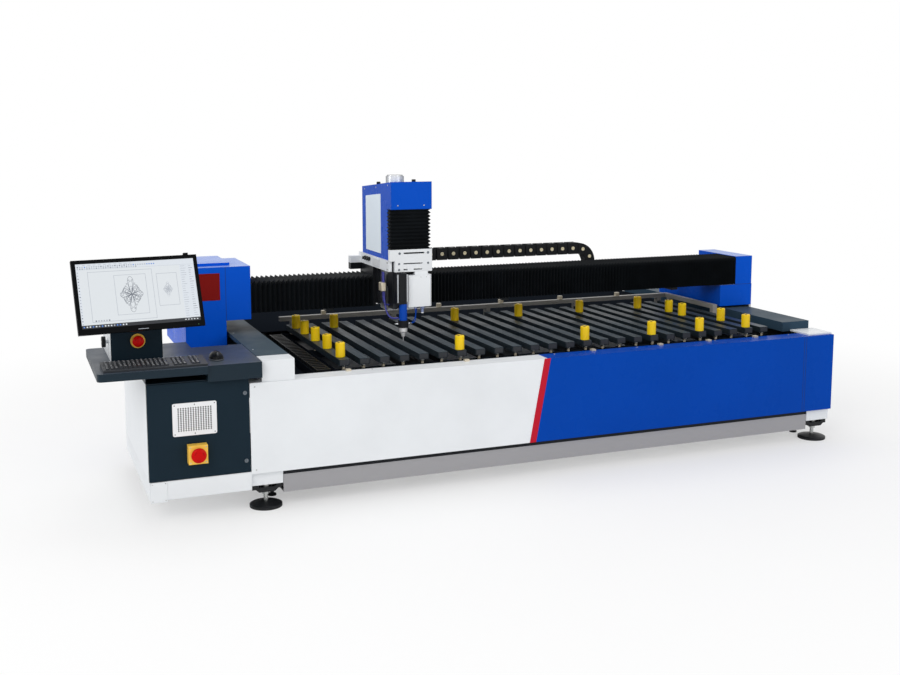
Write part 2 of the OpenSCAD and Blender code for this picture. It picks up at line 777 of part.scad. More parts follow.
mouse_pos = [-125, 110];
wheel_r = 11;
wheel_at = [mouse_pos[0], mouse_pos[1] - 32, desk_z + 24];
module mouse_body() {
    slot = 4.2;
    color("#17191c") {
        difference() {
            translate([mouse_pos[0], mouse_pos[1], desk_z])
                scale([mouse_w / 2, mouse_l / 2, 38]) sphere(r = 1, $fn = 40);
            span([mouse_pos[0] - mouse_w, mouse_pos[0] + mouse_w],
                 [mouse_pos[1] - mouse_l, mouse_pos[1] + mouse_l], [desk_z - 39, desk_z]);
            span([wheel_at[0] - slot, wheel_at[0] + slot], [wheel_at[1] - 13, wheel_at[1] + 13],
                 [wheel_at[2] - 13, desk_z + 60]);
        }
        translate([wheel_at[0] - slot, wheel_at[1], wheel_at[2]]) rotate([0, 90, 0])
            cylinder(r = 1.5, h = 2 * slot, $fn = 24);
    }
}

module mouse_wheel() {
    color("grey") translate([wheel_at[0] - 3, wheel_at[1], wheel_at[2]]) rotate([0, 90, 0])
        difference() {
            cylinder(r = wheel_r, h = 6, $fn = 48);
            translate([0, 0, -E]) cylinder(r = 1.6, h = 8, $fn = 24);
            for (a = [0 : 20 : 340]) rotate([0, 0, a]) translate([wheel_r, 0, -E])
                cylinder(r = 0.8, h = 8, $fn = 8);
        }
}

// --- Monitor --------------------------------------------------------------
module monitor_post() {
    x = [post_x0, post_x0 + post_w];
    color("whitesmoke") {
        shell(x, [post_y0 + post_skin, post_y0 + post_d], [desk_z, post_top], 4, "-y");
        // Clamp knob on the left side
        translate([x[0], post_y0 + 120, desk_z + 75]) rotate([0, -90, 0]) {
            cylinder(r = 8, h = 12, $fn = 32);
            translate([0, 0, 12]) cylinder(r = 24, h = 16, $fn = 48);
        }
    }
}

module post_front() {
    color("#1d242b") difference() {
        span([post_x0, post_x0 + post_w], [post_y0, post_y0 + post_skin], [desk_z, post_top]);
        rod_y(upper_head[0], [post_y0 - E, post_y0 + post_skin + E], upper_head[1], stem_r + SLIP);
    }
}

module upper_stop_ring() {
    color("gold") difference() {
        rod_y(upper_head[0], [post_y0 - 6, post_y0], upper_head[1], 32);
        rod_y(upper_head[0], [post_y0 - 6 - E, post_y0 + E], upper_head[1], stem_r + SLIP);
    }
}

// Mushroom button with its stem; y is the face it stands on
module stop_head(pos, y, r, inside) {
    color("#c90708") translate([pos[0], y, pos[1]]) rotate([90, 0, 0]) rotate_extrude($fn = 64)
        polygon(concat([[0, -inside], [stem_r, -inside], [stem_r, 8], [r - 3, 8], [r, 12], [r, 17]],
            [for (a = [15 : 15 : 90]) [r * cos(a), 17 + 10 * sin(a)]]));
}

module upper_stop_head() {
    stop_head(upper_head, post_y0 - 6, 25, 6 + post_skin - 3);
}

// Places something in the monitor's own turned and tilted frame
module at_monitor() {
    translate(monitor_at) rotate([-monitor_tilt, 0, monitor_turn]) children();
}
pivot = monitor_at + [
    -pivot_back * cos(monitor_tilt) * sin(monitor_turn),
    pivot_back * cos(monitor_tilt) * cos(monitor_turn),
    -pivot_back * sin(monitor_tilt)];

module monitor_arm() {
    reach = post_y0 - pivot[1];
    color("#2b3036") {
        translate(pivot) rotate([0, 0, monitor_turn]) {
            rotate([0, 90, 0]) translate([0, 0, -26]) cylinder(r = 12, h = 52, $fn = 48);
            rotate([0, 90, 0]) translate([0, 0, -40]) cylinder(r = 6, h = 80, $fn = 32);
            span([-20, 20], [0, reach - 6], [-12, 12]);
        }
        span([pivot[0] - 45, pivot[0] + 45], [post_y0 - 9, post_y0], [pivot[2] - 45, pivot[2] + 45]);
    }
}

module monitor_housing() {
    w = monitor_w / 2;
    h = monitor_h / 2;
    color("#101215") at_monitor() {
        difference() {
            union() {
                span([-w, w], [0, monitor_t * 0.45], [-h, h]);
                span([-w * 0.72, w * 0.72], [monitor_t * 0.45, monitor_t], [-h * 0.8, h * 0.72]);
            }
            span([-w + bezel, w - bezel], [-E, 3], screen_z);
        }
        // Lugs that turn on the arm's pin
        for (s = [-1, 1]) difference() {
            hull() {
                span([s * 33 - 5, s * 33 + 5], [monitor_t, monitor_t + 1], [-20, 20]);
                translate([s * 33 - 5, pivot_back, 0]) rotate([0, 90, 0]) cylinder(r = 13, h = 10, $fn = 48);
            }
            translate([s * 33 - 5 - E, pivot_back, 0]) rotate([0, 90, 0])
                cylinder(r = 6 + PIN_GAP, h = 10 + 2 * E, $fn = 32);
        }
        span([w - 56, w - 36], [2, 16], [h, h + 10]);
    }
}

module monitor_screen() {
    w = monitor_w / 2 - bezel;
    color("#eef3f7") at_monitor() span([-w, w], [1, 3], screen_z);
}

// --- Cabinet door ---------------------------------------------------------
module cabinet_door() {
    x = [console_x, -sheet_t];
    z = [door_z0, door_z1];
    color("#192a34") difference() {
        union() {
            shell(x, [0, door_t], z, sheet_t, "+y");
            span([x[0], x[0] + 13], [sheet_t, door_t], z);
            for (lock = lock_z) rod_y(lock_x, [sheet_t, door_t], lock, 11);
        }
        rod_z(hinge_x, hinge_y, [z[0] - E, z[0] + 14], hinge_r + PIN_GAP);
        rod_z(hinge_x, hinge_y, [z[1] - 14, z[1] + E], hinge_r + PIN_GAP);
        for (lock = lock_z) rod_y(lock_x, [-E, door_t + E], lock, 7 + PIN_GAP);
        span([vent_x + 12, vent_x + vent_w - 12], [-E, sheet_t + E], [vent_z + 8, vent_z + vent_h - 8]);
    }
}

// Screwed plate with a field of square holes
module vent_grille() {
    nx = 14;
    nz = 13;
    pitch = [(vent_w - 2 * vent_rim) / nx, (vent_h - 2 * vent_rim) / nz];
    color("silver") difference() {
        rotate([90, 0, 0]) linear_extrude(2)
            polygon(rounded([vent_x, vent_x + vent_w], [vent_z, vent_z + vent_h], 8));
        for (i = [0 : nx - 1]) for (k = [0 : nz - 1])
            translate([vent_x + vent_rim + (i + 0.5) * pitch[0] - vent_hole / 2, -2 - E,
                       vent_z + vent_rim + (k + 0.5) * pitch[1] - vent_hole / 2])
                cube([vent_hole, 4, vent_hole]);
        for (k = [0 : 2]) for (z = [vent_z + 9, vent_z + vent_h - 9])
            rod_y(vent_x + 9 + k * (vent_w - 18) / 2, [-2 - E, -1], z, 2.5);
    }
}

module lower_stop_box() {
    color("#ffbe46") difference() {
        span([stop_box_x, stop_box_x + stop_box], [-40, 0], [stop_box_z, stop_box_z + stop_box]);
        span([stop_box_x + 5, stop_box_x + stop_box - 5], [-35, E], [stop_box_z + 5, stop_box_z + stop_box - 5]);
        rod_y(lower_head[0], [-40 - E, -30], lower_head[1], stem_r + SLIP);
    }
}

module lower_stop_head() {
    stop_head(lower_head, -40, stop_head_d / 2, 20);
}

// Quarter-turn lock: round face with a key slot, and a cam behind the door
module lock(z) {
    color("lightgrey") {
        difference() {
            union() {
                rod_y(lock_x, [-3, 0 - PIN_GAP], z, 9);
                rod_y(lock_x, [-PIN_GAP - 1, door_t + 7], z, 7);
            }
            span([lock_x - 1, lock_x + 1], [-3 - E, 4], [z - 5, z + 5]);
        }
        span([lock_x - 5, lock_x + 5], [door_t + 7, door_t + 10], [z - 14, z + 7]);
    }
}
module upper_lock() {
    lock(lock_z[1]);
}
module lower_lock() {
    lock(lock_z[0]);
}

// --- Gantry ---------------------------------------------------------------
module gantry_beam() {
    tray_y = [chain_y0 - 6, chain_y0 + link_w + 6];
    color("silver") {
        tube_x([beam_x0, beam_x1], [beam_y0, beam_y1], [beam_z0, beam_z1], 8);
        // Open tray for the lower run of the cable chain, with a lid on its left part
        span([tray_x0, tray_x1], tray_y, [tray_floor, tray_floor + tray_t]);
        for (y = [tray_y[0], tray_y[1] - tray_t])
            span([tray_x0, tray_x1], [y, y + tray_t], [tray_floor + tray_t, tray_floor + 38]);
        for (y = [tray_y[0], tray_y[1] - tray_t])
            span([tray_x0, tray_lid_x1], [y, y + tray_t], [tray_floor + 38, lid_z]);
        span([tray_x0, tray_lid_x1], tray_y, [lid_z, lid_z + 4]);
        for (x = [tray_x0 + 300, bed_len / 2, tray_x1 - 500]) {
            span([x - 20, x + 20], [beam_y0 + 25, beam_y1 - 5], [bellows_z - 24, beam_z0]);
            span([x - 20, x + 20], [beam_y1 - 5, tray_y[1]], [bellows_z - 24, bellows_z - 4]);
            span([x - 20, x + 20], tray_y, [bellows_z - 4, tray_floor]);
        }
    }
}

module end_box_left() {
    x = [-left_leg_out, left_leg_x];
    step_z = bellows_z - 29;
    color("#0344a8") {
        shell(x, [gantry_y, leg_back], [leg_bottom, step_z], block_t, "-z");
        shell([x[0], beam_x0], [gantry_y, block_back], [step_z, left_block_top], block_t, "-z");
        span([x[0], left_leg_x + 33], [gantry_y + 59, block_back], [left_block_top, left_block_top + 15]);
    }
}

module end_box_right() {
    color("#0344a8") {
        shell([lower_box_x, bed_len - 10], [gantry_y, leg_back], [lower_box_z, lower_box_top], block_t, "-z");
        shell([beam_x1, bed_len - 13], [gantry_y, block_back], [lower_box_top, bellows_top + 3], block_t, "-z");
    }
}

// Runner blocks that wrap the Y rails, with the plates that carry the end boxes
module gantry_bearings() {
    color("grey") {
        for (x = [rail_l_x, rail_r_x]) for (y = [gantry_y + 20, gantry_y + base_depth - 120])
            difference() {
                span([x - 26, x + 26], [y, y + 100], [rail_z + 10, base_plate_z]);
                span([x - rail_w / 2 - SLIP, x + rail_w / 2 + SLIP], [y - E, y + 100 + E],
                     [rail_z, rail_z + rail_h + SLIP]);
            }
        span([left_leg_x, rail_l_x + 50], [gantry_y, gantry_y + base_depth], base_plate);
        span([rail_r_x - 50, bed_len - 10], [gantry_y, gantry_y + base_depth], base_plate);
        span([bed_len - 24, bed_len - 10], [gantry_y, gantry_y + base_depth], [base_plate[1], lower_box_z]);
    }
}

module red_plate() {
    x = -left_leg_out + 39;
    z = left_block_top - 166;
    color("#960a0f") span([x, x + plate_side], [gantry_y - 2, gantry_y], [z, z + plate_side]);
}

// Two rails and a magnet track on the front of the beam
x_rail_z = [beam_z0 + 26, beam_z0 + 86];
x_rail_h = 20;
module x_guides() {
    x = [beam_x0 + 6, beam_x1 - 6];
    color("grey") {
        for (z = x_rail_z) span(x, [beam_y0 - 18, beam_y0], [z, z + x_rail_h]);
        span(x, [beam_y0 - 10, beam_y0], [x_rail_z[0] + 30, x_rail_z[1] - 10]);
    }
}

// One cross-section of an inverted-U bellows; d is how far this fold steps inwards
function fold_ring(x, d) = [
    [x, gantry_y + d, bellows_z], [x, gantry_y + d, bellows_top - d],
    [x, bellows_y1 - d, bellows_top - d], [x, bellows_y1 - d, bellows_z],
    [x, bellows_y1 - d - bellows_wall, bellows_z],
    [x, bellows_y1 - d - bellows_wall, bellows_top - d - bellows_wall],
    [x, gantry_y + d + bellows_wall, bellows_top - d - bellows_wall],
    [x, gantry_y + d + bellows_wall, bellows_z]];

// Rings of points joined into a closed skin; cap lists the faces that close one end
module skin(rings, cap) {
    n = len(rings[0]);
    last = (len(rings) - 1) * n;
    sides = [for (i = [0 : len(rings) - 2]) for (j = [0 : n - 1])
        [i * n + j, i * n + (j + 1) % n, (i + 1) * n + (j + 1) % n, (i + 1) * n + j]];
    polyhedron(points = [for (r = rings) each r],
               faces = concat(sides, [for (c = cap) [for (k = [len(c) - 1 : -1 : 0]) c[k]]],
                              [for (c = cap) [for (k = c) last + k]]));
}

module bellows(x0, x1, folds) {
    depth = pleat_d - bellows_wall;
    color("#14171a") skin([for (i = [0 : 2 * folds])
        fold_ring(x0 + (x1 - x0) * i / (2 * folds), i % 2 == 0 ? 0 : depth)],
        [[0, 1, 6, 7], [1, 2, 5, 6], [2, 3, 4, 5]]);
}
module bellows_left() {
    bellows(beam_x0, head_x - 7, pleats_left);
}
module bellows_right() {
    bellows(head_x1 + 3, beam_x1, pleats_right);
}

// --- Cable chain ----------------------------------------------------------
chain_y = [chain_y0, chain_y0 + link_w];

// A run of straight links: side cheeks with a raised centre on alternate links
module chain_run(x0, x1, z) {
    count = round((x1 - x0) / link_l);
    pitch = (x1 - x0) / count;
    span([x0, x1], [chain_y[0] + 3, chain_y[1] - 3], [z + 3, z + link_h - 3]);
    for (i = [0 : count - 1]) {
        x = x0 + i * pitch;
        span([x + 3, x + pitch - 3], chain_y, [z, z + link_h]);
        chain_pin(x + pitch / 2, z + link_h / 2);
    }
}
module chain_pin(x, z) {
    rod_y(x, [chain_y[0] - 1.5, chain_y[0]], z, 11);
}

module chain_upper() {
    color("#1a1c1f") chain_run(chain_end_x, bend_x, chain_top - link_h);
}

// The bend and the lower run travel as one piece at half the head's speed
module chain_loop() {
    links = round(PI * (bend_r - link_h / 2) / link_l);
    r = [bend_r - link_h, bend_r];
    outer = (bend_r - 2) * cos(90 / links);
    color("#1a1c1f") {
        chain_run(bend_x - lower_run, bend_x, chain_run_z);
        for (i = [0 : links - 1]) translate([bend_x, 0, bend_z])
            rotate([0, -90 + (i + 0.5) * 180 / links, 0]) {
                translate([0, chain_y[1], 0]) rotate([90, 0, 0]) linear_extrude(link_w)
                    polygon([for (p = [[r[0] + 1, -1], [outer, -1], [outer, 1], [r[0] + 1, 1]])
                        [p[0], p[1] * (p[0] * tan(90 / links) - 1.5)]]);
                translate([(r[0] + r[1]) / 2, 0, 0]) chain_pin(0, 0);
            }
        translate([bend_x, chain_y[1] - 3, bend_z]) rotate([90, 0, 0])
            linear_extrude(link_w - 6) intersection() {
                difference() {
                    circle(r = r[1] - 3, $fn = 96);
                    circle(r = r[0] + 3, $fn = 64);
                }
                translate([0, -bend_r]) square([bend_r, 2 * bend_r]);
            }
    }
}

// --- Carriage and head ----------------------------------------------------
bar_l = [head_x - 8, head_x + 10];
bar_r = [head_x1 - 17, head_x1 + 1];
saddle_top = head_base;

module carriage() {
    x = [bar_l[1], bar_r[0]];
    back = bellows_y1 + 21;
    inner = [gantry_y + pleat_d + 3, bellows_y1 - pleat_d - 3];
    color("whitesmoke") {
        span(bar_l, [head_y + 24, back], [saddle_z, saddle_top]);
        span(bar_r, [column_y0, back], [saddle_z, saddle_top]);
        span(x, [column_y1 - 14, back], [saddle_z + 5, saddle_top - 10]);
        span(x, [column_y1 - 14, gantry_y + 2], [beam_z0, saddle_z + 5]);
        // Frames that the bellows end on
        for (fx = [[bar_l[0] + 1, bar_l[0] + 6], [bar_r[1] - 5, bar_r[1] + 1]]) difference() {
            span(fx, [gantry_y, bellows_y1], [bellows_z, saddle_z]);
            span([fx[0] - E, fx[1] + E], inner, [bellows_z - E, bellows_top - pleat_d - 1]);
        }
        // Runner blocks on the two X rails
        for (z = x_rail_z) for (bx = [x[0], x[1] - 70]) difference() {
            span([bx, bx + 70], [gantry_y + 2, beam_y0 - 3], [z - 8, z + x_rail_h + 8]);
            span([bx - E, bx + 70 + E], [beam_y0 - 18 - SLIP, beam_y0], [z - SLIP, z + x_rail_h + SLIP]);
        }
        // Bracket that holds the end of the cable chain
        span([head_x1 - 42, head_x1 + 1], [back, chain_y[1] + 4], [chain_top + 5, saddle_top]);
        span([head_x1 + 1, chain_end_x], chain_y, [chain_top - link_h, saddle_top]);
        // Junction box beside the saddle
        span([bar_l[0] - 60, bar_l[0]], [back - 40, back], [saddle_z - 35, saddle_top - 20]);
    }
}

// Cover folded from sheet: sides, sloping top, hood front and back, open below and in front
cover_side = [[505, head_base], [505, z_front_z], [head_y, z_front_z], [head_y, head_top],
              [head_y + head_d, head_top - head_slope], [head_y + head_d, head_base]];
module head_cover() {
    t = 3;
    y1 = head_y + head_d;
    color("#0d4fbd") {
        for (x = [head_x, head_x1 - t])
            translate([x, 0, 0]) rotate([90, 0, 90]) linear_extrude(t) polygon(cover_side);
        translate([head_x + t, 0, 0]) rotate([90, 0, 90]) linear_extrude(head_w - 2 * t)
            polygon([[head_y, z_front_z], [head_y, head_top], [y1, head_top - head_slope], [y1, head_base],
                     [y1 - t, head_base], [y1 - t, head_top - head_slope - t],
                     [head_y + t, head_top - t - 0.3], [head_y + t, z_front_z]]);
    }
}

// Thin inset plate on the left side of the cover
module head_side_panel() {
    y = [head_y + side_panel_inset[0], head_y + head_d - side_panel_inset[1]];
    function top(at) = head_top - side_panel_inset[3] - head_slope * (at - head_y) / head_d;
    color("white") translate([head_x - 1.5, 0, 0]) rotate([90, 0, 90]) linear_extrude(1.5)
        polygon([[y[0], head_base + side_panel_inset[2]], [y[1], head_base + side_panel_inset[2]],
                 [y[1], top(y[1])], [y[0], top(y[0])]]);
}

module head_cap() {
    y = head_y + 62;
    base = head_top - head_slope;
    color("silver") difference() {
        union() {
            rod_z(head_x + 52, y + 30, [base, head_top + 26], 46, 64);
            rod_z(head_x + 52, y + 30, [head_top + 26, head_top + 32], 40, 64);
            for (p = [[14, 240], [128, 22]])
                rod_z(head_x + p[0], head_y + p[1], [base, head_top + 12 - head_slope * p[1] / head_d], 9, 32);
        }
        translate([head_x - E, 0, 0]) rotate([90, 0, 90]) linear_extrude(head_w)
            polygon([[head_y, base - E], [head_y, head_top], [head_y + head_d, base],
                     [head_y + head_d, base - E]]);
    }
}

column_x = head_x + 25;
column_w = 160;
screw_in = 110;
screw_at = [head_x + screw_in, column_y0 - 12];
module z_column() {
    x = [column_x, column_x + column_w];
    top = head_top - 69;
    color("grey") {
        span(x, [column_y0, column_y1 - 14], [beam_z0 - 20, top]);
        for (rx = rail_pair) span([rx, rx + 18], [column_y0 - 15, column_y0], [beam_z0 - 10, top - 10]);
        rod_z(screw_at[0], screw_at[1], [beam_z0 - 4, top - 18], 7);
        for (z = [[beam_z0 - 20, beam_z0 - 4], [top - 18, top]])
            span([screw_at[0] - 25, screw_at[0] + 25], [column_y0 - 24, column_y0], z);
        span([screw_at[0] - 35, screw_at[0] + 35], [column_y0 + 8, column_y0 + 78], [top, top + 42]);
    }
}

module z_bellows() {
    folds = pleats_z;
    zs = [head_base + 57, z_front_z];
    x = [head_x - 7, head_x1 - 2];
    y = [head_y + 2, head_y + 53];
    color("#14171a") difference() {
        skin([for (i = [0 : 2 * folds]) let (d = i % 2 == 0 ? 0 : 10, z = zs[0] + (zs[1] - zs[0]) * i / (2 * folds))
            [[x[0] + d, y[1] - d, z], [x[1] - d, y[1] - d, z],
             [x[1] - d, y[0] + d, z], [x[0] + d, y[0] + d, z]]], [[0, 1, 2, 3]]);
        span([x[0] + 14, x[1] - 14], [y[0] + 14, y[1] - 14], [zs[0] - E, zs[1] + E]);
    }
}

module z_plates() {
    x = [head_x - 11, head_x1 + 1];
    y = [head_y, head_y + z_plate_t];
    low_x = head_x + 18;
    color("whitesmoke") {
        difference() {
            span(x, y, [plate_split, head_base + 57]);
            for (hx = [x[0] + 54, x[1] - 22]) rod_y(hx, [y[0] - E, y[1] + E], head_base + 38, 6);
            span([x[0] + 76, x[1] - 40], [y[0] - E, y[1] + E], [head_base + 34, head_base + 42]);
        }
        difference() {
            span([low_x, x[1]], y, [plate_low_z, plate_split]);
            for (h = [[22, 42], [22, 12], [178, 42]])
                rod_y(low_x + h[0], [y[0] - E, y[1] + E], plate_low_z + h[1], 5);
            for (h = [[46, 148, 39], [46, 68, 9], [100, 146, 9]])
                span([low_x + h[0], low_x + h[1]], [y[0] - E, y[1] + E], [plate_low_z + h[2], plate_low_z + h[2] + 6]);
        }
    }
}

// Slide on the Z rails: back plate, runner blocks, screw nut and the dark front guides
module z_carrier() {
    back = column_y0 - 24;
    plate_y = back - 18;
    nut = 24;
    color("#22262b") {
        span([head_x + 18, head_x + 190], [plate_y, back], [beam_z0 + 100, head_base + 49]);
        for (rx = rail_pair) for (z = [beam_z0 + 110, head_base - 20]) difference() {
            span([rx - 8, rx + 26], [back, column_y0 - 3], [z, z + 60]);
            span([rx - SLIP, rx + 18 + SLIP], [column_y0 - 15 - SLIP, column_y0], [z - E, z + 60 + E]);
        }
        difference() {
            span([screw_at[0] - nut, screw_at[0] + nut], [back, column_y0 - 1], [beam_z0 + 190, beam_z0 + 230]);
            rod_z(screw_at[0], screw_at[1], [beam_z0 + 189, beam_z0 + 231], 7 + SLIP);
        }
        for (gx = [carrier_x, carrier_x + 38])
            span([gx, gx + 22], [head_y + z_plate_t, plate_y], [beam_z0 + 3, head_base + 49]);
    }
}

module laser_head() {
    z = beam_z0 + 33;
    color("#1b1e22") {
        span([nozzle_x - 42, nozzle_x + 14], [head_y - 22, head_y + z_plate_t], [z, plate_low_z - 4]);
        rod_z(nozzle_x, head_y, [nozzle_z + nozzle_len + collar_h, z], tube_r);
        rod_z(nozzle_x, head_y, [nozzle_z + nozzle_len, nozzle_z + nozzle_len + collar_h], collar_r);
    }
}

module nozzle() {
    color("lightgrey") translate([nozzle_x, head_y, nozzle_z]) rotate_extrude($fn = 48)
        polygon([[0, 0], [1.2, 0], [2.5, 22], [10, 26], [15, 49], [22, 51], [22, nozzle_len], [0, nozzle_len]]);
}

module camera_box() {
    x = [head_x + 83, head_x1 + 1];
    z = [plate_low_z - 182, plate_low_z - 19];
    color("whitesmoke") {
        translate([0, 0, z[0]]) linear_extrude(z[1] - z[0])
            polygon([[x[0], head_y + 50], [x[0], head_y + 12], [x[0] + 10, head_y + 2],
                     [x[1] - 10, head_y + 2], [x[1], head_y + 12], [x[1], head_y + 50]]);
        span([x[0] + 42, x[0] + 112], [head_y, head_y + z_plate_t], [z[1], plate_low_z]);
        rod_z(x[0] + 92, head_y + 30, [z[0] - 12, z[0]], 12);
        rod_z(x[0] + 92, head_y + 30, [z[0] - 42, z[0] - 12], 7);
    }
}

// Route of a hose: a smooth curve through four control points
function curve(a, b, c, d, steps) = [for (k = [0 : steps]) let (t = k / steps, u = 1 - t)
    u * u * u * a + 3 * u * u * t * b + 3 * u * t * t * c + t * t * t * d];

// Round tube swept along a route
hose_sides = 10;
hose_ref = [0.3, 1, 0.2];
function along(p, i) = p[min(i + 1, len(p) - 1)] - p[max(i - 1, 0)];
function hose_ring(p, i, r) = let (w = along(p, i) / norm(along(p, i)),
    u = cross(hose_ref, w) / norm(cross(hose_ref, w)), v = cross(u, w))
    [for (k = [0 : hose_sides - 1]) let (a = 360 * k / hose_sides) p[i] + r * (cos(a) * u + sin(a) * v)];
module pipe(route, r) {
    skin([for (i = [0 : len(route) - 1]) hose_ring(route, i, r)], [[for (k = [0 : hose_sides - 1]) k]]);
}

// Supply hoses down the left side to the laser head
module air_hose() {
    x = head_x - 19;
    y = head_y + 70;
    z = saddle_z - 5;
    r = 4.5;
    color("#6a5acd") {
        pipe(curve([x, y, z], [x, y, z - 190], [x, y - 20, z - 250],
                   [nozzle_x - tube_r - r - SEAM, head_y, nozzle_z + nozzle_len + collar_h + 14], 22), r);
        pipe(curve([x, y + 16, z], [x, y + 16, z - 150], [x, y + 16, z - 172],
                   [carrier_x, y + 16, z - 172], 16), r);
        span([x - 9, x - r], [y - 9, y + 26], [z - 96, z - 60]);
    }
}

// --- Assembly -------------------------------------------------------------
at_datum() {
    bed_frame();
    levelling_pads();
    foot_studs();
    foot_blocks();
    front_panel_white();
    front_panel_blue();
    red_stripe();
    side_panels();
    deck_sheets();
    rail_end_caps();
    rail_covers();
    y_guides();
    slats();
    slat_bearers();
    table_fittings();
    edge_bars();
    stops();
    y_cable_chain();
    console_cabinet();
    console_base();
    desk();
    control_unit();
    keyboard();
    mouse_body();
    mouse_wheel();
    monitor_post();
    post_front();
    upper_stop_ring();
    upper_stop_head();
    monitor_arm();
    monitor_housing();
    monitor_screen();
    cabinet_door();
    vent_grille();
    lower_stop_box();
    lower_stop_head();
    upper_lock();
    lower_lock();
    gantry_beam();
    end_box_left();
    end_box_right();
    gantry_bearings();
    red_plate();
    x_guides();
    bellows_left();
    bellows_right();
    chain_upper();
    chain_loop();
    carriage();
    head_cover();
    head_side_panel();
    head_cap();
    z_column();
    z_bellows();
    z_plates();
    z_carrier();
    laser_head();
    nozzle();
    camera_box();
    air_hose();
}
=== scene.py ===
"""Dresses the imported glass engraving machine: paints, fabric, plastics, screen, fasteners and the studio."""

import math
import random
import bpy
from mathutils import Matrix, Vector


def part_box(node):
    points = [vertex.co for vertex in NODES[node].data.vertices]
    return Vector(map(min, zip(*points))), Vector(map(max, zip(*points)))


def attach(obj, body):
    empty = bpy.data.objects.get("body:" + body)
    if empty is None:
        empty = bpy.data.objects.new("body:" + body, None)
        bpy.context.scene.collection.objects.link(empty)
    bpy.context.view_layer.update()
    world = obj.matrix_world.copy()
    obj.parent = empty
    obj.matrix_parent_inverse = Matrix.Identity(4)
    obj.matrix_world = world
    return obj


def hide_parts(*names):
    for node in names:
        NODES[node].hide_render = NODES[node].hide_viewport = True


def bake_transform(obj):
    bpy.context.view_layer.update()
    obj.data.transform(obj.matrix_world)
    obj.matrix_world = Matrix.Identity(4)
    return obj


bl_info = {
    "name": "Glass Engraving Machine",
    "version": (1, 0, 0),
    "blender": (4, 5, 0),
    "location": "View3D > Sidebar > Engraver",
    "description": "Builds the finishes and fine pieces of a gantry machine that engraves glass",
    "category": "Object",
}

import bmesh
import bpy
from bpy.props import FloatProperty, FloatVectorProperty, IntProperty, PointerProperty
from mathutils import Matrix, Vector

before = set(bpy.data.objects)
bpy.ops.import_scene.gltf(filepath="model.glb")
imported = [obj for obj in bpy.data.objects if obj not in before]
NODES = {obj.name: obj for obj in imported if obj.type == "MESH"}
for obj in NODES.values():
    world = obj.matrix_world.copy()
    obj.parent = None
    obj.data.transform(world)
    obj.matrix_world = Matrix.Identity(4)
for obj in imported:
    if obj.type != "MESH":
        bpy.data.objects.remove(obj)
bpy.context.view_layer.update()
MM = 0.001


# ---------------------------------------------------------------- sizes and colours

def linear(value):
    """Screen value from 0 to 255 as linear light."""
    c = value / 255
    return c / 12.92 if c <= 0.04045 else ((c + 0.055) / 1.055) ** 2.4


def tone(*rgb):
    """Screen colour from 0 to 255 as linear light."""
    return tuple(linear(c) for c in rgb)


def colour(name, rgb, text):
    """A colour property written in screen values from 0 to 255."""
    return FloatVectorProperty(name=name, description=text, subtype="COLOR", size=3, min=0.0, max=1.0,
                               default=tone(*rgb))


class EngraverPaints(bpy.types.PropertyGroup):
    """Colours of the machine's paints and plastics."""
    white: colour("White paint", (233, 236, 239), "Powder coat of the panels and boxes")
    blue: colour("Blue paint", (3, 68, 170), "Gloss paint of the right panel, the end boxes and the head")
    red: colour("Red stripe", (190, 24, 46), "Film between the two front panels")
    plate_red: colour("Red plate", (128, 12, 8), "Square plate on the left end box")
    anthracite: colour("Anthracite", (28, 42, 52), "Desk and cabinet door")
    grey: colour("Frame grey", (176, 175, 178), "Tubes of the bed frame")
    cover_grey: colour("Cover grey", (52, 73, 90), "Covers over the long rails")
    slat_dark: colour("Slat", (36, 46, 53), "Slats of the table")
    yellow: colour("Yellow", (255, 210, 8), "Stops on the slats and the emergency stop plates")
    button_red: colour("Button red", (198, 12, 12), "Heads of the emergency stops")
    fabric: colour("Bellows", (7, 10, 13), "Coated fabric of the bellows")
    hose: colour("Hose", (64, 66, 150), "Supply hoses of the laser head")


class EngraverSizes(bpy.types.PropertyGroup):
    """Sizes of the fine pieces."""
    fold_depth: FloatProperty(name="Fold depth",
                              description="How far the beam's bellows step in at each fold",
                              default=0.0165, min=0.004, max=0.018, unit="LENGTH")
    folds_left: IntProperty(name="Left folds", description="Folds of the short bellows",
                            default=26, min=8, max=60)
    folds_right: IntProperty(name="Right folds", description="Folds of the long bellows",
                             default=103, min=30, max=160)
    folds_head: IntProperty(name="Head folds", description="Folds of the head's bellows",
                            default=11, min=5, max=24)
    screw_head: FloatProperty(name="Screw head", description="Radius of the small panel screws",
                              default=0.0045, min=0.002, max=0.008, unit="LENGTH")
    chain_link: FloatProperty(name="Chain link", description="Length of one link of the cable chain",
                              default=0.072, min=0.03, max=0.12, unit="LENGTH")


class EngraverStudio(bpy.types.PropertyGroup):
    """Light and floor of the studio."""
    key_power: FloatProperty(name="Key light", description="Power of the large lamp at the left",
                             default=118.0, min=0.0, max=2000.0, unit="POWER")
    fill_power: FloatProperty(name="Fill light", description="Power of the lamp in front",
                              default=52.0, min=0.0, max=2000.0, unit="POWER")
    sky: FloatProperty(name="Sky", description="Strength of the even light from all sides",
                       default=0.62, min=0.0, max=2.0)


# ---------------------------------------------------------------- finishes

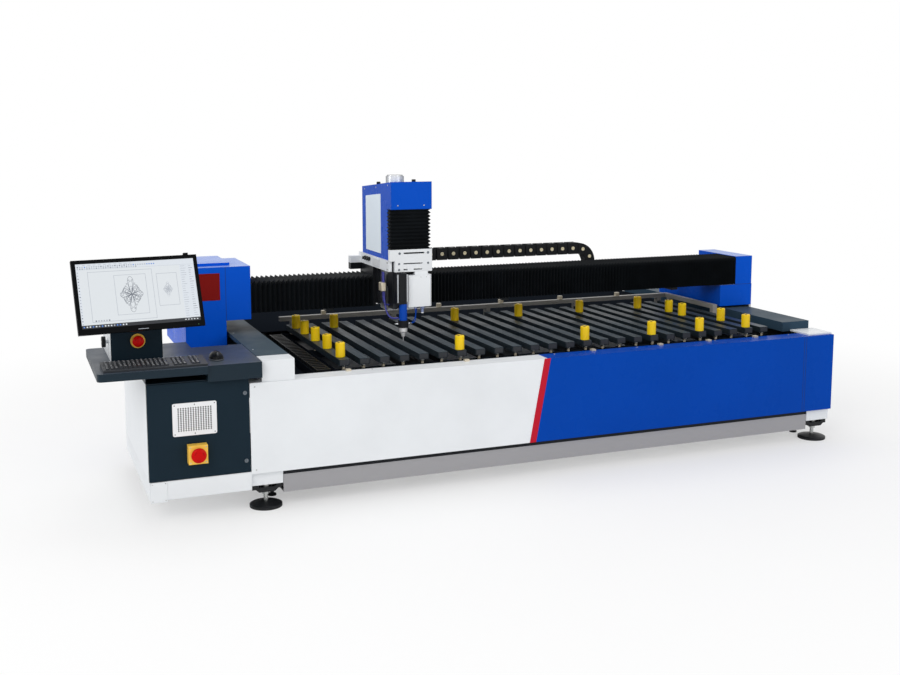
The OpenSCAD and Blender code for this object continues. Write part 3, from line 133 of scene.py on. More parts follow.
class Graph:
    """Shader nodes of a material or of the world."""

    def __init__(self, owner):
        owner.use_nodes = True
        self.tree = owner.node_tree

    def fill(self, node, values):
        """Sets a node's inputs: a socket is linked, a number or colour is written."""
        for key, value in values.items():
            if isinstance(value, bpy.types.NodeSocket):
                self.tree.links.new(value, node.inputs[key])
            else:
                node.inputs[key].default_value = value

    def add(self, kind, values, out=0, **settings):
        """Adds a node with its inputs filled and gives one of its outputs."""
        node = self.tree.nodes.new("ShaderNode" + kind)
        for key, value in settings.items():
            setattr(node, key, value)
        self.fill(node, values)
        return node.outputs[out]

    def math(self, operation, first, second):
        """Number made of two others."""
        return self.add("Math", {0: first, 1: second}, operation=operation)

    def coords(self, scale=(1, 1, 1)):
        """Object coordinates, stretched by scale."""
        return self.add("Mapping", {"Vector": self.add("TexCoord", {}, "Object"), "Scale": scale})

    def grain(self, vector, scale, detail=4.0, rough=0.55):
        """Noise value over vector."""
        values = {"Vector": vector, "Scale": scale, "Detail": detail, "Roughness": rough}
        return self.add("TexNoise", values, "Fac")

    def between(self, value, low, high):
        """Noise value stretched between low and high."""
        values = {"Value": value, "From Min": 0.3, "From Max": 0.7, "To Min": low, "To Max": high}
        return self.add("MapRange", values)

    def mixed(self, value, first, second):
        """Colour that goes from first to second with value."""
        first, second = (c if isinstance(c, bpy.types.NodeSocket) else (*c, 1) for c in (first, second))
        return self.add("Mix", {"Factor": value, "A": first, "B": second}, "Result", data_type="RGBA")

    def facing_up(self):
        """Value that is 1 on level faces and 0 on upright ones."""
        normal = self.add("NewGeometry", {}, "Normal")
        level = self.add("SeparateXYZ", {"Vector": normal}, "Z")
        return self.add("MapRange", {"Value": level, "From Min": 0.6})


class Finish(Graph):
    """Material built around one shader."""

    def __init__(self, name):
        self.material = bpy.data.materials.new(name)
        super().__init__(self.material)
        self.shader = self.tree.nodes["Principled BSDF"]

    def surface(self, **values):
        """Sets inputs of the shader, written with _ for a space."""
        self.fill(self.shader, {key.replace("_", " "): value for key, value in values.items()})

    def relief(self, height, strength, distance, radius):
        """Fine relief on top of edges that look slightly rounded; gives the finished material."""
        values = {"Height": height, "Strength": strength, "Distance": distance}
        if radius:
            values["Normal"] = self.add("Bevel", {"Radius": radius}, samples=4)
        self.surface(Normal=self.add("Bump", values))
        return self.material


def shade(rgb, factor):
    """Colour made lighter or darker."""
    return tuple(max(0.0, min(1.0, c * factor)) for c in rgb)


def powder_coat(name, rgb, rough=0.4, coat=0.0, peel=0.12, radius=0.0018, specular=0.4, painted_top_sheen=None):
    """Painted sheet: faint orange peel, slight changes of tone and gloss, and a lighter colour on level faces
    that is a painted reflection of the bright sky.
    """
    f = Finish(name)
    place = f.coords()
    paint = f.mixed(f.between(f.grain(place, 2.6, 5.0), 0.0, 1.0), shade(rgb, 0.95), shade(rgb, 1.025))
    # Level faces take the lighter colour: a painted sky reflection, not dust
    if painted_top_sheen:
        paint = f.mixed(f.facing_up(), paint, painted_top_sheen)
    f.surface(Base_Color=paint, Roughness=f.between(f.grain(place, 9.0, 6.0), rough - 0.04, rough + 0.07),
              Specular_IOR_Level=specular, Coat_Weight=coat, Coat_Roughness=0.08, Coat_IOR=1.3)
    return f.relief(f.grain(place, 420.0, 3.0), peel, 0.0004, radius)


def bare_metal(name, rgb, rough=0.3, along=(1, 1, 1), lines=60.0, metallic=1.0):
    """Machined metal with fine lines along one direction."""
    f = Finish(name)
    streak = f.grain(f.coords(along), lines, 6.0, 0.7)
    f.surface(Base_Color=f.mixed(streak, shade(rgb, 0.86), shade(rgb, 1.1)),
              Roughness=f.between(streak, rough - 0.08, rough + 0.1), Metallic=metallic)
    return f.relief(streak, 0.12, 0.0003, 0.0008)


def moulded(name, rgb, rough=0.5, spark=0.35, scale=900.0, coat=0.0, radius=0.001, subsurface=0.0,
            specular=0.3):
    """Moulded plastic or rubber with a fine leathery grain."""
    f = Finish(name)
    place = f.coords()
    broad = f.grain(place, 14.0)
    f.surface(Base_Color=f.mixed(broad, shade(rgb, 0.9), shade(rgb, 1.08)),
              Roughness=f.between(broad, rough - 0.05, rough + 0.08), Coat_Weight=coat,
              Subsurface_Weight=subsurface, Subsurface_Scale=0.01, Specular_IOR_Level=specular)
    return f.relief(f.add("TexVoronoi", {"Vector": place, "Scale": scale}, "Distance"), spark, 0.0002, radius)


def turned_metal_with_painted_reflection(name, rgb, edge, rough, metallic):
    """Bright turned metal whose colour darkens where its face turns away from the eye: a painted reflection
    and shade.
    """
    f = Finish(name)
    lines = f.grain(f.coords((1, 1, 9)), 40.0, 5.0)
    f.surface(Base_Color=f.mixed(f.add("LayerWeight", {"Blend": 0.42}, "Facing"), rgb, edge),
              Roughness=f.between(lines, rough - 0.05, rough + 0.08), Metallic=metallic)
    return f.relief(lines, 0.1, 0.0002, 0.0006)


def worn_slat(name, rgb):
    """Dark coated steel, rubbed lighter by the glass on its upper side, with draw marks along it."""
    f = Finish(name)
    marks = f.grain(f.coords((1, 0.06, 1)), 90.0, 6.0, 0.7)
    worn = f.math("MULTIPLY", f.facing_up(), f.between(f.grain(f.coords(), 7.0, 5.0), 0.35, 1.0))
    f.surface(Base_Color=f.mixed(worn, rgb, shade(rgb, 2.1)), Roughness=f.between(marks, 0.30, 0.48),
              Metallic=0.3, Specular_IOR_Level=0.12)
    return f.relief(marks, 0.15, 0.0003, 0.0015)


def coated_fabric(name, rgb):
    """Coated cloth: a tight weave under a dull skin with a little dust."""
    f = Finish(name)
    place = f.coords()
    dust = f.grain(place, 11.0, 5.0)
    f.surface(Base_Color=f.mixed(f.between(dust, 0.0, 1.0), rgb, shade(rgb, 1.9)),
              Roughness=f.between(dust, 0.56, 0.7), Specular_IOR_Level=0.08, Sheen_Weight=0.02)
    weave = f.add("TexWave", {"Vector": place, "Scale": 260.0, "Distortion": 1.5}, "Fac",
                  bands_direction="DIAGONAL")
    return f.relief(weave, 0.25, 0.0003, 0.0)


def glow(name, rgb, strength):
    """Lit patch of a display."""
    f = Finish(name)
    f.surface(Base_Color=(*shade(rgb, 0.25), 1), Roughness=0.3, Emission_Color=(*rgb, 1),
              Emission_Strength=strength)
    return f.material


def banded(name, rgb_in, rgb_out, low=-1.0, high=2.0, rough=0.35, axis="Z"):
    """Paint that is another one beyond two levels along an axis, for a part made of several pieces; on the bed
    frame the other colour is painted shade.
    """
    f = Finish(name)
    place = f.coords()
    level = f.add("SeparateXYZ", {"Vector": place}, axis)
    inside = f.math("MULTIPLY", f.math("GREATER_THAN", level, low), f.math("LESS_THAN", level, high))
    f.surface(Base_Color=f.mixed(inside, rgb_out, rgb_in), Specular_IOR_Level=0.15,
              Roughness=f.between(f.grain(place, 9.0), rough - 0.04, rough + 0.06))
    return f.relief(f.grain(place, 500.0), 0.1, 0.0003, 0.001)


FINISHES = {}


def mix_finishes(p):
    """Makes every finish of the machine, in the colours of p."""
    steel = tone(186, 188, 191)
    FINISHES.update({
        "white": powder_coat("White powder coat", p.white, 0.38, 0.1),
        "pale panel": powder_coat("Pale panel coat", tone(234, 245, 255), 0.38, 0.1),
        "blue": powder_coat("Blue gloss paint", p.blue, 0.26, peel=0.06, specular=0.04),
        # Head blue: the blue paint made 1.35 times lighter as painted light, with a painted sky reflection on
        # level faces
        "head blue": powder_coat("Blue gloss paint of the head", shade(p.blue, 1.35), 0.26, peel=0.06,
                                 radius=0.006, specular=0.05, painted_top_sheen=tone(70, 120, 214)),
        # Box blue: the blue paint made 1.66 times lighter as painted light, with a painted sky reflection on
        # level faces
        "box blue": powder_coat("Blue gloss paint of the boxes", shade(p.blue, 1.66), 0.28, peel=0.06,
                                radius=0.004, specular=0.05, painted_top_sheen=tone(140, 162, 224)),
        "red film": powder_coat("Red film", p.red, 0.3, peel=0.03, radius=0.0, specular=0.1),
        "red plate": powder_coat("Red plate", p.plate_red, 0.35, peel=0.05, specular=0.1),
        "anthracite": powder_coat("Anthracite coat", p.anthracite, peel=0.2, specular=0.04),
        # Desk coat: its level faces carry a painted sky reflection
        "desk coat": powder_coat("Desk coat with painted top sheen", p.anthracite, 0.36, peel=0.2, specular=0.14,
                                 painted_top_sheen=tone(58, 67, 78)),
        "bar grey": powder_coat("Bar coat", tone(158, 156, 152), 0.42, peel=0.15, radius=0.0012,
                                specular=0.2),
        "cabinet": banded("Cabinet coat", p.white, p.anthracite, high=0.617, rough=0.4),
        "beam": banded("Beam coat", tone(46, 50, 56), tone(214, 217, 220), high=1.06, rough=0.4, axis="Y"),
        # Frame coat: near-black above 0.150 m is painted shade, for the dark gap under the panels and the
        # shaded inside of the frame
        "frame grey": banded("Frame coat with painted shadow band", shade(p.grey, 0.82), tone(22, 25, 29), high=0.150, rough=0.45),
        "light grey": powder_coat("Light grey coat", tone(212, 215, 218), coat=0.1, peel=0.15),
        "grille grey": powder_coat("Grille coat", tone(236, 236, 238), peel=0.1, radius=0.0),
        # Cover grey: its level faces carry a painted sky reflection
        "cover grey": powder_coat("Cover grey coat with painted top sheen", p.cover_grey, peel=0.15, specular=0.03,
                                  painted_top_sheen=tone(66, 80, 90)),
        "dark sheet": powder_coat("Dark sheet", tone(24, 28, 34), 0.62, peel=0.2, specular=0.0),
        "dark gap": powder_coat("Seam", tone(22, 26, 34), 0.7, peel=0.05, radius=0.0),
        "slat": worn_slat("Slat coat", p.slat_dark),
        "steel": bare_metal("Ground steel", steel, along=(1, 0.08, 1)),
        "beam steel": bare_metal("Ground steel of the beam", steel, along=(0.08, 1, 1)),
        "zinc": bare_metal("Zinc plate", tone(190, 192, 190), 0.28, lines=25.0),
        "chrome": bare_metal("Chrome", tone(215, 217, 220), 0.12, lines=12.0),
        "machined": bare_metal("Machined aluminium", tone(176, 179, 183), 0.36, (1, 1, 0.1)),
        "anodised": bare_metal("Black anodised", tone(34, 37, 42), 0.4, (1, 1, 0.1), metallic=0.6),
        "lock metal": bare_metal("Lock metal", tone(112, 119, 126), 0.34, lines=20.0),
        "fitting": bare_metal("Warm metal", tone(214, 203, 180), 0.34, lines=30.0, metallic=0.45),
        # Cap and nozzle: colour goes from bright to dark towards their outline, a painted reflection
        "cap metal": turned_metal_with_painted_reflection("Polished cap", tone(236, 238, 241), tone(44, 46, 52), 0.22, 0.4),
        "nozzle metal": turned_metal_with_painted_reflection("Nozzle metal", tone(240, 240, 241), tone(70, 72, 76), 0.26, 0.2),
        "black iron": moulded("Black pad", tone(20, 22, 25), 0.45, 0.4, 300.0),
        "black plastic": moulded("Black plastic", tone(20, 22, 25), 0.42, 0.3, specular=0.2),
        "housing": moulded("Monitor plastic", tone(5, 6, 8), 0.36, 0.1, specular=0.06),
        "gloss black": moulded("Gloss black plastic", tone(10, 12, 16), 0.3, 0.05, 600.0, 0.02,
                               specular=0.08),
        "chain": moulded("Chain plastic", tone(22, 24, 27), 0.48, 0.3, 700.0, specular=0.18),
        "pin": moulded("Pin plastic", tone(240, 228, 190), 0.45, 0.2),
        "arrow": moulded("Arrow mark", tone(112, 8, 10), 0.4, 0.1, specular=0.1),
        "grey plastic": moulded("Grey plastic", tone(84, 87, 92), 0.5, 0.3),
        "key": moulded("Key plastic", tone(46, 49, 54), 0.45, 0.25, 1500.0),
        "legend": moulded("Key mark", tone(232, 233, 235), 0.5, 0.1),
        "stop": moulded("Yellow polyurethane", p.yellow, 0.42, 0.25, 500.0, 0.1, 0.0015, 0.1),
        "plate yellow": moulded("Yellow plate", tone(255, 202, 84), 0.35, 0.1, 700.0, 0.05, specular=0.15),
        "button": moulded("Red button", p.button_red, 0.28, 0.05, 700.0, 0.04, 0.0015, 0.05, 0.06),
        "bellows": coated_fabric("Bellows cloth", p.fabric),
        "hose": moulded("Hose", p.hose, 0.3, 0.1, 500.0, 0.3),
        # Laser head: its blue band is the blue paint made 1.15 times lighter, as painted light
        "laser": banded("Laser head", shade(p.blue, 1.15), tone(26, 28, 32), 0.7485, 0.8325),
        "carriage": banded("Carriage paint", p.white, tone(24, 26, 30), low=0.9952),
        # Camera housing: the white paint made 1.12 times lighter, as painted light
        "camera": banded("Camera housing", shade(p.white, 1.12), tone(150, 164, 205), low=0.812),
        "lit white": glow("Lit window", tone(220, 225, 229), 0.74),
        "lit panel": glow("Lit palette", tone(214, 220, 227), 0.78),
        "lit line": glow("Lit line", tone(168, 174, 184), 0.74),
        "lit motif": glow("Lit drawing", tone(104, 110, 122), 0.72),
        "lit dark": glow("Lit bar", tone(26, 30, 38), 0.72),
        "lit green": glow("Lit green", tone(106, 176, 106), 0.8),
        "lit blue": glow("Lit blue", tone(90, 132, 204), 0.8),
    })


CAD_FINISHES = {
    "frame grey": "bed_frame",
    "black iron": "levelling_pads",
    "zinc": "foot_studs",
    "white": "foot_blocks front_panel_white side_panels rail_end_caps console_base monitor_post z_plates",
    "carriage": "carriage",
    "cabinet": "console_cabinet",
    "beam": "gantry_beam",
    "blue": "front_panel_blue",
    "box blue": "end_box_left end_box_right",
    "head blue": "head_cover",
    "red film": "red_stripe",
    "red plate": "red_plate",
    "dark sheet": "deck_sheets slat_bearers",
    "cover grey": "rail_covers",
    "steel": "y_guides gantry_bearings",
    "beam steel": "x_guides",
    "slat": "slats",
    "fitting": "table_fittings",
    "bar grey": "edge_bars",
    "stop": "stops",
    "black plastic": "y_cable_chain monitor_arm",
    "housing": "monitor_housing",
    "desk coat": "desk",
    "anthracite": "post_front cabinet_door control_unit",
    "grey plastic": "mouse_wheel",
    "key": "keyboard",
    "gloss black": "mouse_body",
    "plate yellow": "upper_stop_ring lower_stop_box",
    "button": "upper_stop_head lower_stop_head",
    "lit white": "monitor_screen",
    "grille grey": "vent_grille",
    "lock metal": "upper_lock lower_lock",
    "bellows": "bellows_left bellows_right z_bellows",
    "chain": "chain_upper chain_loop",
    "pale panel": "head_side_panel",
    "cap metal": "head_cap",
    "nozzle metal": "nozzle",
    "machined": "z_column",
    "anodised": "z_carrier",
    "laser": "laser_head",
    "camera": "camera_box",
    "hose": "air_hose",
}




# ---------------------------------------------------------------- mesh tools

FRONT, LEFT, UP = (0, -1, 0), (-1, 0, 0), (0, 0, 1)
DRAWING_ORIGIN = Vector((0.075, 0.060, 0))
DESK_TOP = 0.690


def at(x, y, z):
    """Point given in millimetres from the front panel's lower left corner on the floor."""
    return Vector((x, y, z)) * MM - DRAWING_ORIGIN


class Piece:
    """Collects solids of several finishes into one mesh that rides on a body."""

    def __init__(self, name, finish, place=None):
        self.name = name
        self.finishes = [finish]
        self.place = place or Matrix()
        self.bm = bmesh.new()

    def stamp(self, faces, finish=None, smooth=False):
        """Gives faces a finish, which is the piece's first one if none is named."""
        finish = finish or self.finishes[0]
        if finish not in self.finishes:
            self.finishes.append(finish)
        for f in faces:
            f.material_index = self.finishes.index(finish)
            f.smooth = smooth

    def block(self, low, high, finish=None, bevel=0.0):
        """Box, with slightly broken edges if bevel is given."""
        made = bmesh.ops.create_cube(self.bm, size=1.0)["verts"]
        for v in made:
            v.co = Vector([a + (c + 0.5) * (b - a) for a, b, c in zip(low, high, v.co)])
        faces = {f for v in made for f in v.link_faces}
        self.stamp(faces, finish)
        if bevel:
            edges = {e for v in made for e in v.link_edges}
            cut = bmesh.ops.bevel(self.bm, geom=list(edges), offset=bevel, segments=2, profile=0.5,
                                  affect="EDGES")["faces"]
            self.stamp(cut, finish, True)
            made = {v for f in (*faces, *cut) if f.is_valid for v in f.verts}
        for v in made:
            v.co = self.place @ v.co

    def turned(self, place, direction, profile, finish=None, around=24):
        """Turned solid: profile holds (height, radius) pairs along direction."""
        turn = Vector(UP).rotation_difference(Vector(direction)).to_matrix().to_4x4()
        whole = self.place @ Matrix.Translation(Vector(place)) @ turn
        rings = []
        for height, radius in profile:
            angles = [2 * math.pi * i / around for i in range(around)] if radius > 0 else [0]
            points = [Vector((radius * math.cos(a), radius * math.sin(a), height)) for a in angles]
            rings.append([self.bm.verts.new(whole @ p) for p in points])
        faces = []
        for a, b in zip(rings, rings[1:]):
            for i in range(around):
                j = (i + 1) % around
                corners = list(dict.fromkeys([a[i % len(a)], a[j % len(a)], b[j % len(b)], b[i % len(b)]]))
                if len(corners) > 2:
                    faces.append(self.bm.faces.new(corners))
        self.stamp(faces, finish, True)
        self.stamp([self.bm.faces.new(ring) for ring in (rings[0][::-1], rings[-1]) if len(ring) > 1], finish)

    def strip(self, points, width, depth, finish=None, closed=False):
        """Flat ribbon along points in the X-Z plane, facing -Y at depth."""
        count = len(points)
        rows = []
        for i, (x, z) in enumerate(points):
            before = points[(i - 1) % count] if closed or i else points[0]
            after = points[(i + 1) % count] if closed or i < count - 1 else points[-1]
            run = Vector((after[0] - before[0], after[1] - before[1]))
            side = Vector((-run.y, run.x)).normalized() * width / 2
            rows.append([self.bm.verts.new(self.place @ Vector((x + sign * side.x, depth, z + sign * side.y)))
                         for sign in (1, -1)])
        pairs = list(zip(rows, rows[1:] + rows[:1]))
        self.stamp([self.bm.faces.new((*a, *b[::-1])) for a, b in (pairs if closed else pairs[:-1])], finish)

    def sweep(self, rings, finish=None, smooth=True, closed=False):
        """Skin over rings of points; closed rings go all round."""
        rows = [[self.bm.verts.new(p) for p in ring] for ring in rings]
        faces = []
        for a, b in zip(rows, rows[1:]):
            n = len(a)
            for i in range(n if closed else n - 1):
                faces.append(self.bm.faces.new((a[i], a[(i + 1) % n], b[(i + 1) % n], b[i])))
        self.stamp(faces, finish, smooth)
        return rows

    def done(self, body=None, replaces=()):
        """Turns the collected solids into an object, on its body or in place of nodes."""
        bmesh.ops.recalc_face_normals(self.bm, faces=self.bm.faces)
        mesh = bpy.data.meshes.new(self.name)
        self.bm.to_mesh(mesh)
        self.bm.free()
        for name in self.finishes:
            mesh.materials.append(FINISHES[name])
        obj = bpy.data.objects.new(self.name, mesh)
        bpy.context.scene.collection.objects.link(obj)
        if body:
            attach(obj, body)
        if replaces:
            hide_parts(*replaces)
        return obj


def ends_of(lo, hi, axis):
    """Middle points of a box's lower and higher end along an axis."""
    first, last = (lo + hi) / 2, (lo + hi) / 2
    first[axis], last[axis] = lo[axis], hi[axis]
    return first, last


def even_blend(obj, first, second, start, end):
    """Bakes obj's placement into its mesh; it does not stretch between the two bodies."""
    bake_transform(obj)


def flat_ends(node, axis, pick):
    """Centres of the small flat ends of a node at its lowest (min) or highest (max) level along an axis."""
    same_level, same_end = 0.0005, 0.03
    points = [v.co for v in NODES[node].data.vertices]
    level = pick(p[axis] for p in points)
    groups = []
    for p in points:
        if abs(p[axis] - level) < same_level:
            near = next((g for g in groups if (g[0] - p).length < same_end), None)
            if near is None:
                groups.append([p])
            else:
                near.append(p)
    return [Vector([(min(row) + max(row)) / 2 for row in zip(*g)]) for g in groups]


def dome(radius, height):
    """Profile of a low domed head."""
    return [(0, radius), (height * 0.45, radius), (height * 0.85, radius * 0.8), (height, radius * 0.45),
            (height * 0.72, radius * 0.42), (height * 0.72, 0)]


def screw(piece, place, direction, radius, finish=None, height=0.0016):
    """Small domed screw with its socket."""
    piece.turned(place, direction, dome(radius, height), finish, 20)


# Share of a fold's depth at each quarter of the fold, and the cloth's thickness
FOLD = (0.0, 0.5, 1.0, 0.5)
CLOTH = 0.0012


def fold_cloth(node, rings, bodies, ends):
    """Cloth swept over rings in place of a node."""
    piece = Piece(node + "_folds", "bellows")
    rows = piece.sweep(rings, smooth=False, closed=True)
    # Strips between the outside and the lining close the open ends
    for row in (rows[0], rows[-1]):
        for i in range(len(row) // 2 - 1):
            piece.stamp([piece.bm.faces.new((row[i], row[i + 1], row[-2 - i], row[-1 - i]))])
    even_blend(piece.done(replaces=[node]), *bodies, *ends)


# ---------------------------------------------------------------- operators

class ENGRAVER_OT_paint(bpy.types.Operator):
    """Gives every modelled part of the machine its paint, metal or plastic"""
    bl_idname = "engraver.paint"
    bl_label = "Paint the machine"

    def execute(self, context):
        mix_finishes(context.scene.engraver_paints)
        for finish, nodes in CAD_FINISHES.items():
            for node in nodes.split():
                materials = NODES[node].data.materials
                materials.clear()
                materials.append(FINISHES[finish])
        return {"FINISHED"}


class ENGRAVER_OT_bellows(bpy.types.Operator):
    """Folds the two bellows that cover the beam, between its ends and the carriage"""
    bl_idname = "engraver.bellows"
    bl_label = "Beam bellows"

    def execute(self, context):
        sizes = context.scene.engraver_sizes
        for node, folds, bodies in (("bellows_left", sizes.folds_left, ("gantry", "carriage")),
                                    ("bellows_right", sizes.folds_right, ("carriage", "gantry"))):
            lo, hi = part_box(node)
            steps = 4 * folds
            rings = [self.ring(lo, hi, lo.x + (hi.x - lo.x) * i / steps, FOLD[i % 4] * sizes.fold_depth)
                     for i in range(steps + 1)]
            fold_cloth(node, rings, bodies, ends_of(lo, hi, 0))
        return {"FINISHED"}

    def ring(self, lo, hi, x, inset):
        """Ring of the bellows at x, stepped in by inset: the cloth's outside and its lining."""
        skin = self.arch(lo.y + inset, hi.y - inset, lo.z, hi.z - inset)
        lining = self.arch(lo.y + inset + CLOTH, hi.y - inset - CLOTH, lo.z, hi.z - inset - CLOTH)
        return [Vector((x, y, z)) for y, z in skin + lining[::-1]]

    def arch(self, y0, y1, z0, z1):
        """Upturned U with mitred corners."""
        corner = 0.011
        return [(y0, z0), (y0, z1 - corner), (y0 + corner, z1), (y1 - corner, z1),
                (y1, z1 - corner), (y1, z0)]


class ENGRAVER_OT_head_bellows(bpy.types.Operator):
    """Folds the bellows between the head's cover and its lower plates"""
    bl_idname = "engraver.head_bellows"
    bl_label = "Head bellows"

    def execute(self, context):
        lo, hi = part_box("z_bellows")
        steps, depth = 4 * context.scene.engraver_sizes.folds_head, 0.010
        rings = []
        for i in range(steps + 1):
            z = hi.z - (hi.z - lo.z) * i / steps
            ring = []
            for wall, corner, way in ((0, 0.007, 1), (CLOTH, 0.006, -1)):
                d = FOLD[i % 4] * depth + wall
                x0, x1, y0, y1 = lo.x + d, hi.x - d, lo.y + d, hi.y - d
                points = [(x0, y1), (x0, y0 + corner), (x0 + corner, y0), (x1 - corner, y0),
                          (x1, y0 + corner), (x1, y1)]
                ring += [Vector((x, y, z)) for x, y in points[::way]]
            rings.append(ring)
        fold_cloth("z_bellows", rings, ("carriage", "z_slide"), ends_of(lo, hi, 2)[::-1])
        return {"FINISHED"}


class ENGRAVER_OT_chain(bpy.types.Operator):
    """Builds the upper run of the cable chain and the pins of its loop"""
    bl_idname = "engraver.chain"
    bl_label = "Cable chain"

    def execute(self, context):
        pin, lift = 0.0108, 0.0002
        lo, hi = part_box("chain_upper")
        lo = lo + Vector((0, 0.0015, 0))
        piece = Piece("chain_upper_links", "chain")
        count = max(1, round((hi.x - lo.x) / context.scene.engraver_sizes.chain_link))
        pitch = (hi.x - lo.x) / count
        for i in range(count):
            x = lo.x + i * pitch
            self.link(piece, x, pitch, lo, hi)
            piece.turned((x + pitch / 2, lo.y + lift, (lo.z + hi.z) / 2), FRONT, dome(pin, 0.0016), "pin")
        even_blend(piece.done(replaces=["chain_upper"]), "carriage", "chain_loop", *ends_of(lo, hi, 0))
        pins = Piece("chain_loop_pins", "pin")
        for centre in flat_ends("chain_loop", 1, min):
            pins.turned(centre + Vector((0, lift, 0)), FRONT, dome(pin, 0.0012))
        pins.done("chain_loop")
        return {"FINISHED"}

    def link(self, piece, x, pitch, lo, hi):
        """One link: side plates that overlap the next ones like scales, and two bars across."""
        for y, way in ((lo.y, 1), (hi.y, -1)):
            for near, far, x0, x1, trim, bevel in (
                    (0, 0.004, x + 0.0015, x + pitch - 0.0015, 0, 0.004),
                    (0.0042, 0.008, x - 0.008, x + pitch * 0.4, 0.008, 0.003)):
                y0, y1 = sorted((y + way * near, y + way * far))
                piece.block((x0, y0, lo.z + trim), (x1, y1, hi.z - trim), None, bevel)
        for z in (lo.z + 0.001, hi.z - 0.005):
            piece.block((x + pitch * 0.34, lo.y + 0.004, z), (x + pitch * 0.66, hi.y - 0.004, z + 0.004),
                        None, 0.001)


class ENGRAVER_OT_studio(bpy.types.Operator):
    """Sets the pale floor, the soft lamps, the white surroundings and the camera"""
    bl_idname = "engraver.studio"
    bl_label = "Studio"

    def execute(self, context):
        scene, studio = context.scene, context.scene.engraver_studio
        scene.view_settings.view_transform = "Standard"
        made = [self.floor()]
        self.surroundings(scene, studio.sky)
        for name, place, aim, size, power in (
                ("Key lamp", (-3.4, -4.2, 4.6), (1.0, 0.4, 0.6), 3.2, studio.key_power),
                ("Fill lamp", (3.8, -5.4, 2.6), (1.4, 0.4, 0.6), 3.0, studio.fill_power),
                ("Side lamp", (-5.2, 0.4, 1.9), (-0.4, 0.5, 0.6), 2.6, studio.fill_power * 0.8),
                ("Top lamp", (1.4, 1.6, 5.2), (1.4, 0.8, 0.6), 3.6, studio.key_power * 0.5)):
            light = bpy.data.lights.new(name, "AREA")
            light.size = size
            light.energy = power
            turn = (Vector(aim) - Vector(place)).to_track_quat("-Z", "Y").to_euler()
            made.append(self.put(name, light, place, turn))
        view = bpy.data.cameras.new("Camera")
        view.lens = 45.2
        view.sensor_width = 36
        view.shift_y = -0.063
        view.clip_end = 200
        turn = (math.radians(90 - 7.63), 0, math.radians(-21.95))
        scene.camera = self.put("Camera", view, (-1.0868, -4.9534, 1.7089), turn)
        return {"FINISHED"}

    def put(self, name, data, place, turn=(0, 0, 0)):
        """Sets an object with this data in the scene."""
        obj = bpy.data.objects.new(name, data)
        obj.location = place
        obj.rotation_euler = turn
        bpy.context.scene.collection.objects.link(obj)
        return obj

    def floor(self):
        """Pale floor that keeps the machine's soft shadow and fades to plain white around it."""
        bm = bmesh.new()
        bmesh.ops.create_grid(bm, x_segments=1, y_segments=1, size=60)
        mesh = bpy.data.meshes.new("Floor")
        bm.to_mesh(mesh)
        bm.free()
        f = Finish("Pale floor")
        place = f.coords()
        f.surface(Base_Color=f.mixed(f.grain(place, 0.8), (0.93, 0.932, 0.935), (0.96, 0.962, 0.964)),
                  Roughness=0.7)
        away = f.add("VectorMath", {0: place}, "Value", operation="LENGTH")
        fade = f.add("MapRange", {"Value": away, "From Min": 1.6, "From Max": 4.2, "To Min": 0.42,
                                  "To Max": 1.0}, interpolation_type="SMOOTHSTEP")
        seen = f.math("MULTIPLY", f.add("LightPath", {}, "Is Camera Ray"), fade)
        white = f.add("Emission", {"Color": (1, 1, 1, 1)})
        both = f.add("MixShader", {0: seen, 1: f.shader.outputs["BSDF"], 2: white})
        f.fill(f.tree.nodes["Material Output"], {"Surface": both})
        mesh.materials.append(f.material)
        return self.put("Floor", mesh, (1.5, 0.9, -0.0004))

    def surroundings(self, scene, sky):
        """White for eye, mirror and glass; softer for the light that falls on the machine."""
        scene.world = bpy.data.worlds.new("Surroundings")
        g = Graph(scene.world)
        ray = g.tree.nodes.new("ShaderNodeLightPath").outputs
        clear = g.math("MAXIMUM", g.math("MAXIMUM", ray["Is Camera Ray"], ray["Is Glossy Ray"]),
                       ray["Is Transmission Ray"])
        strength = g.add("MapRange", {"Value": clear, "To Min": sky, "To Max": 1.0})
        g.fill(g.tree.nodes["Background"], {"Color": (1, 1, 1, 1), "Strength": strength})


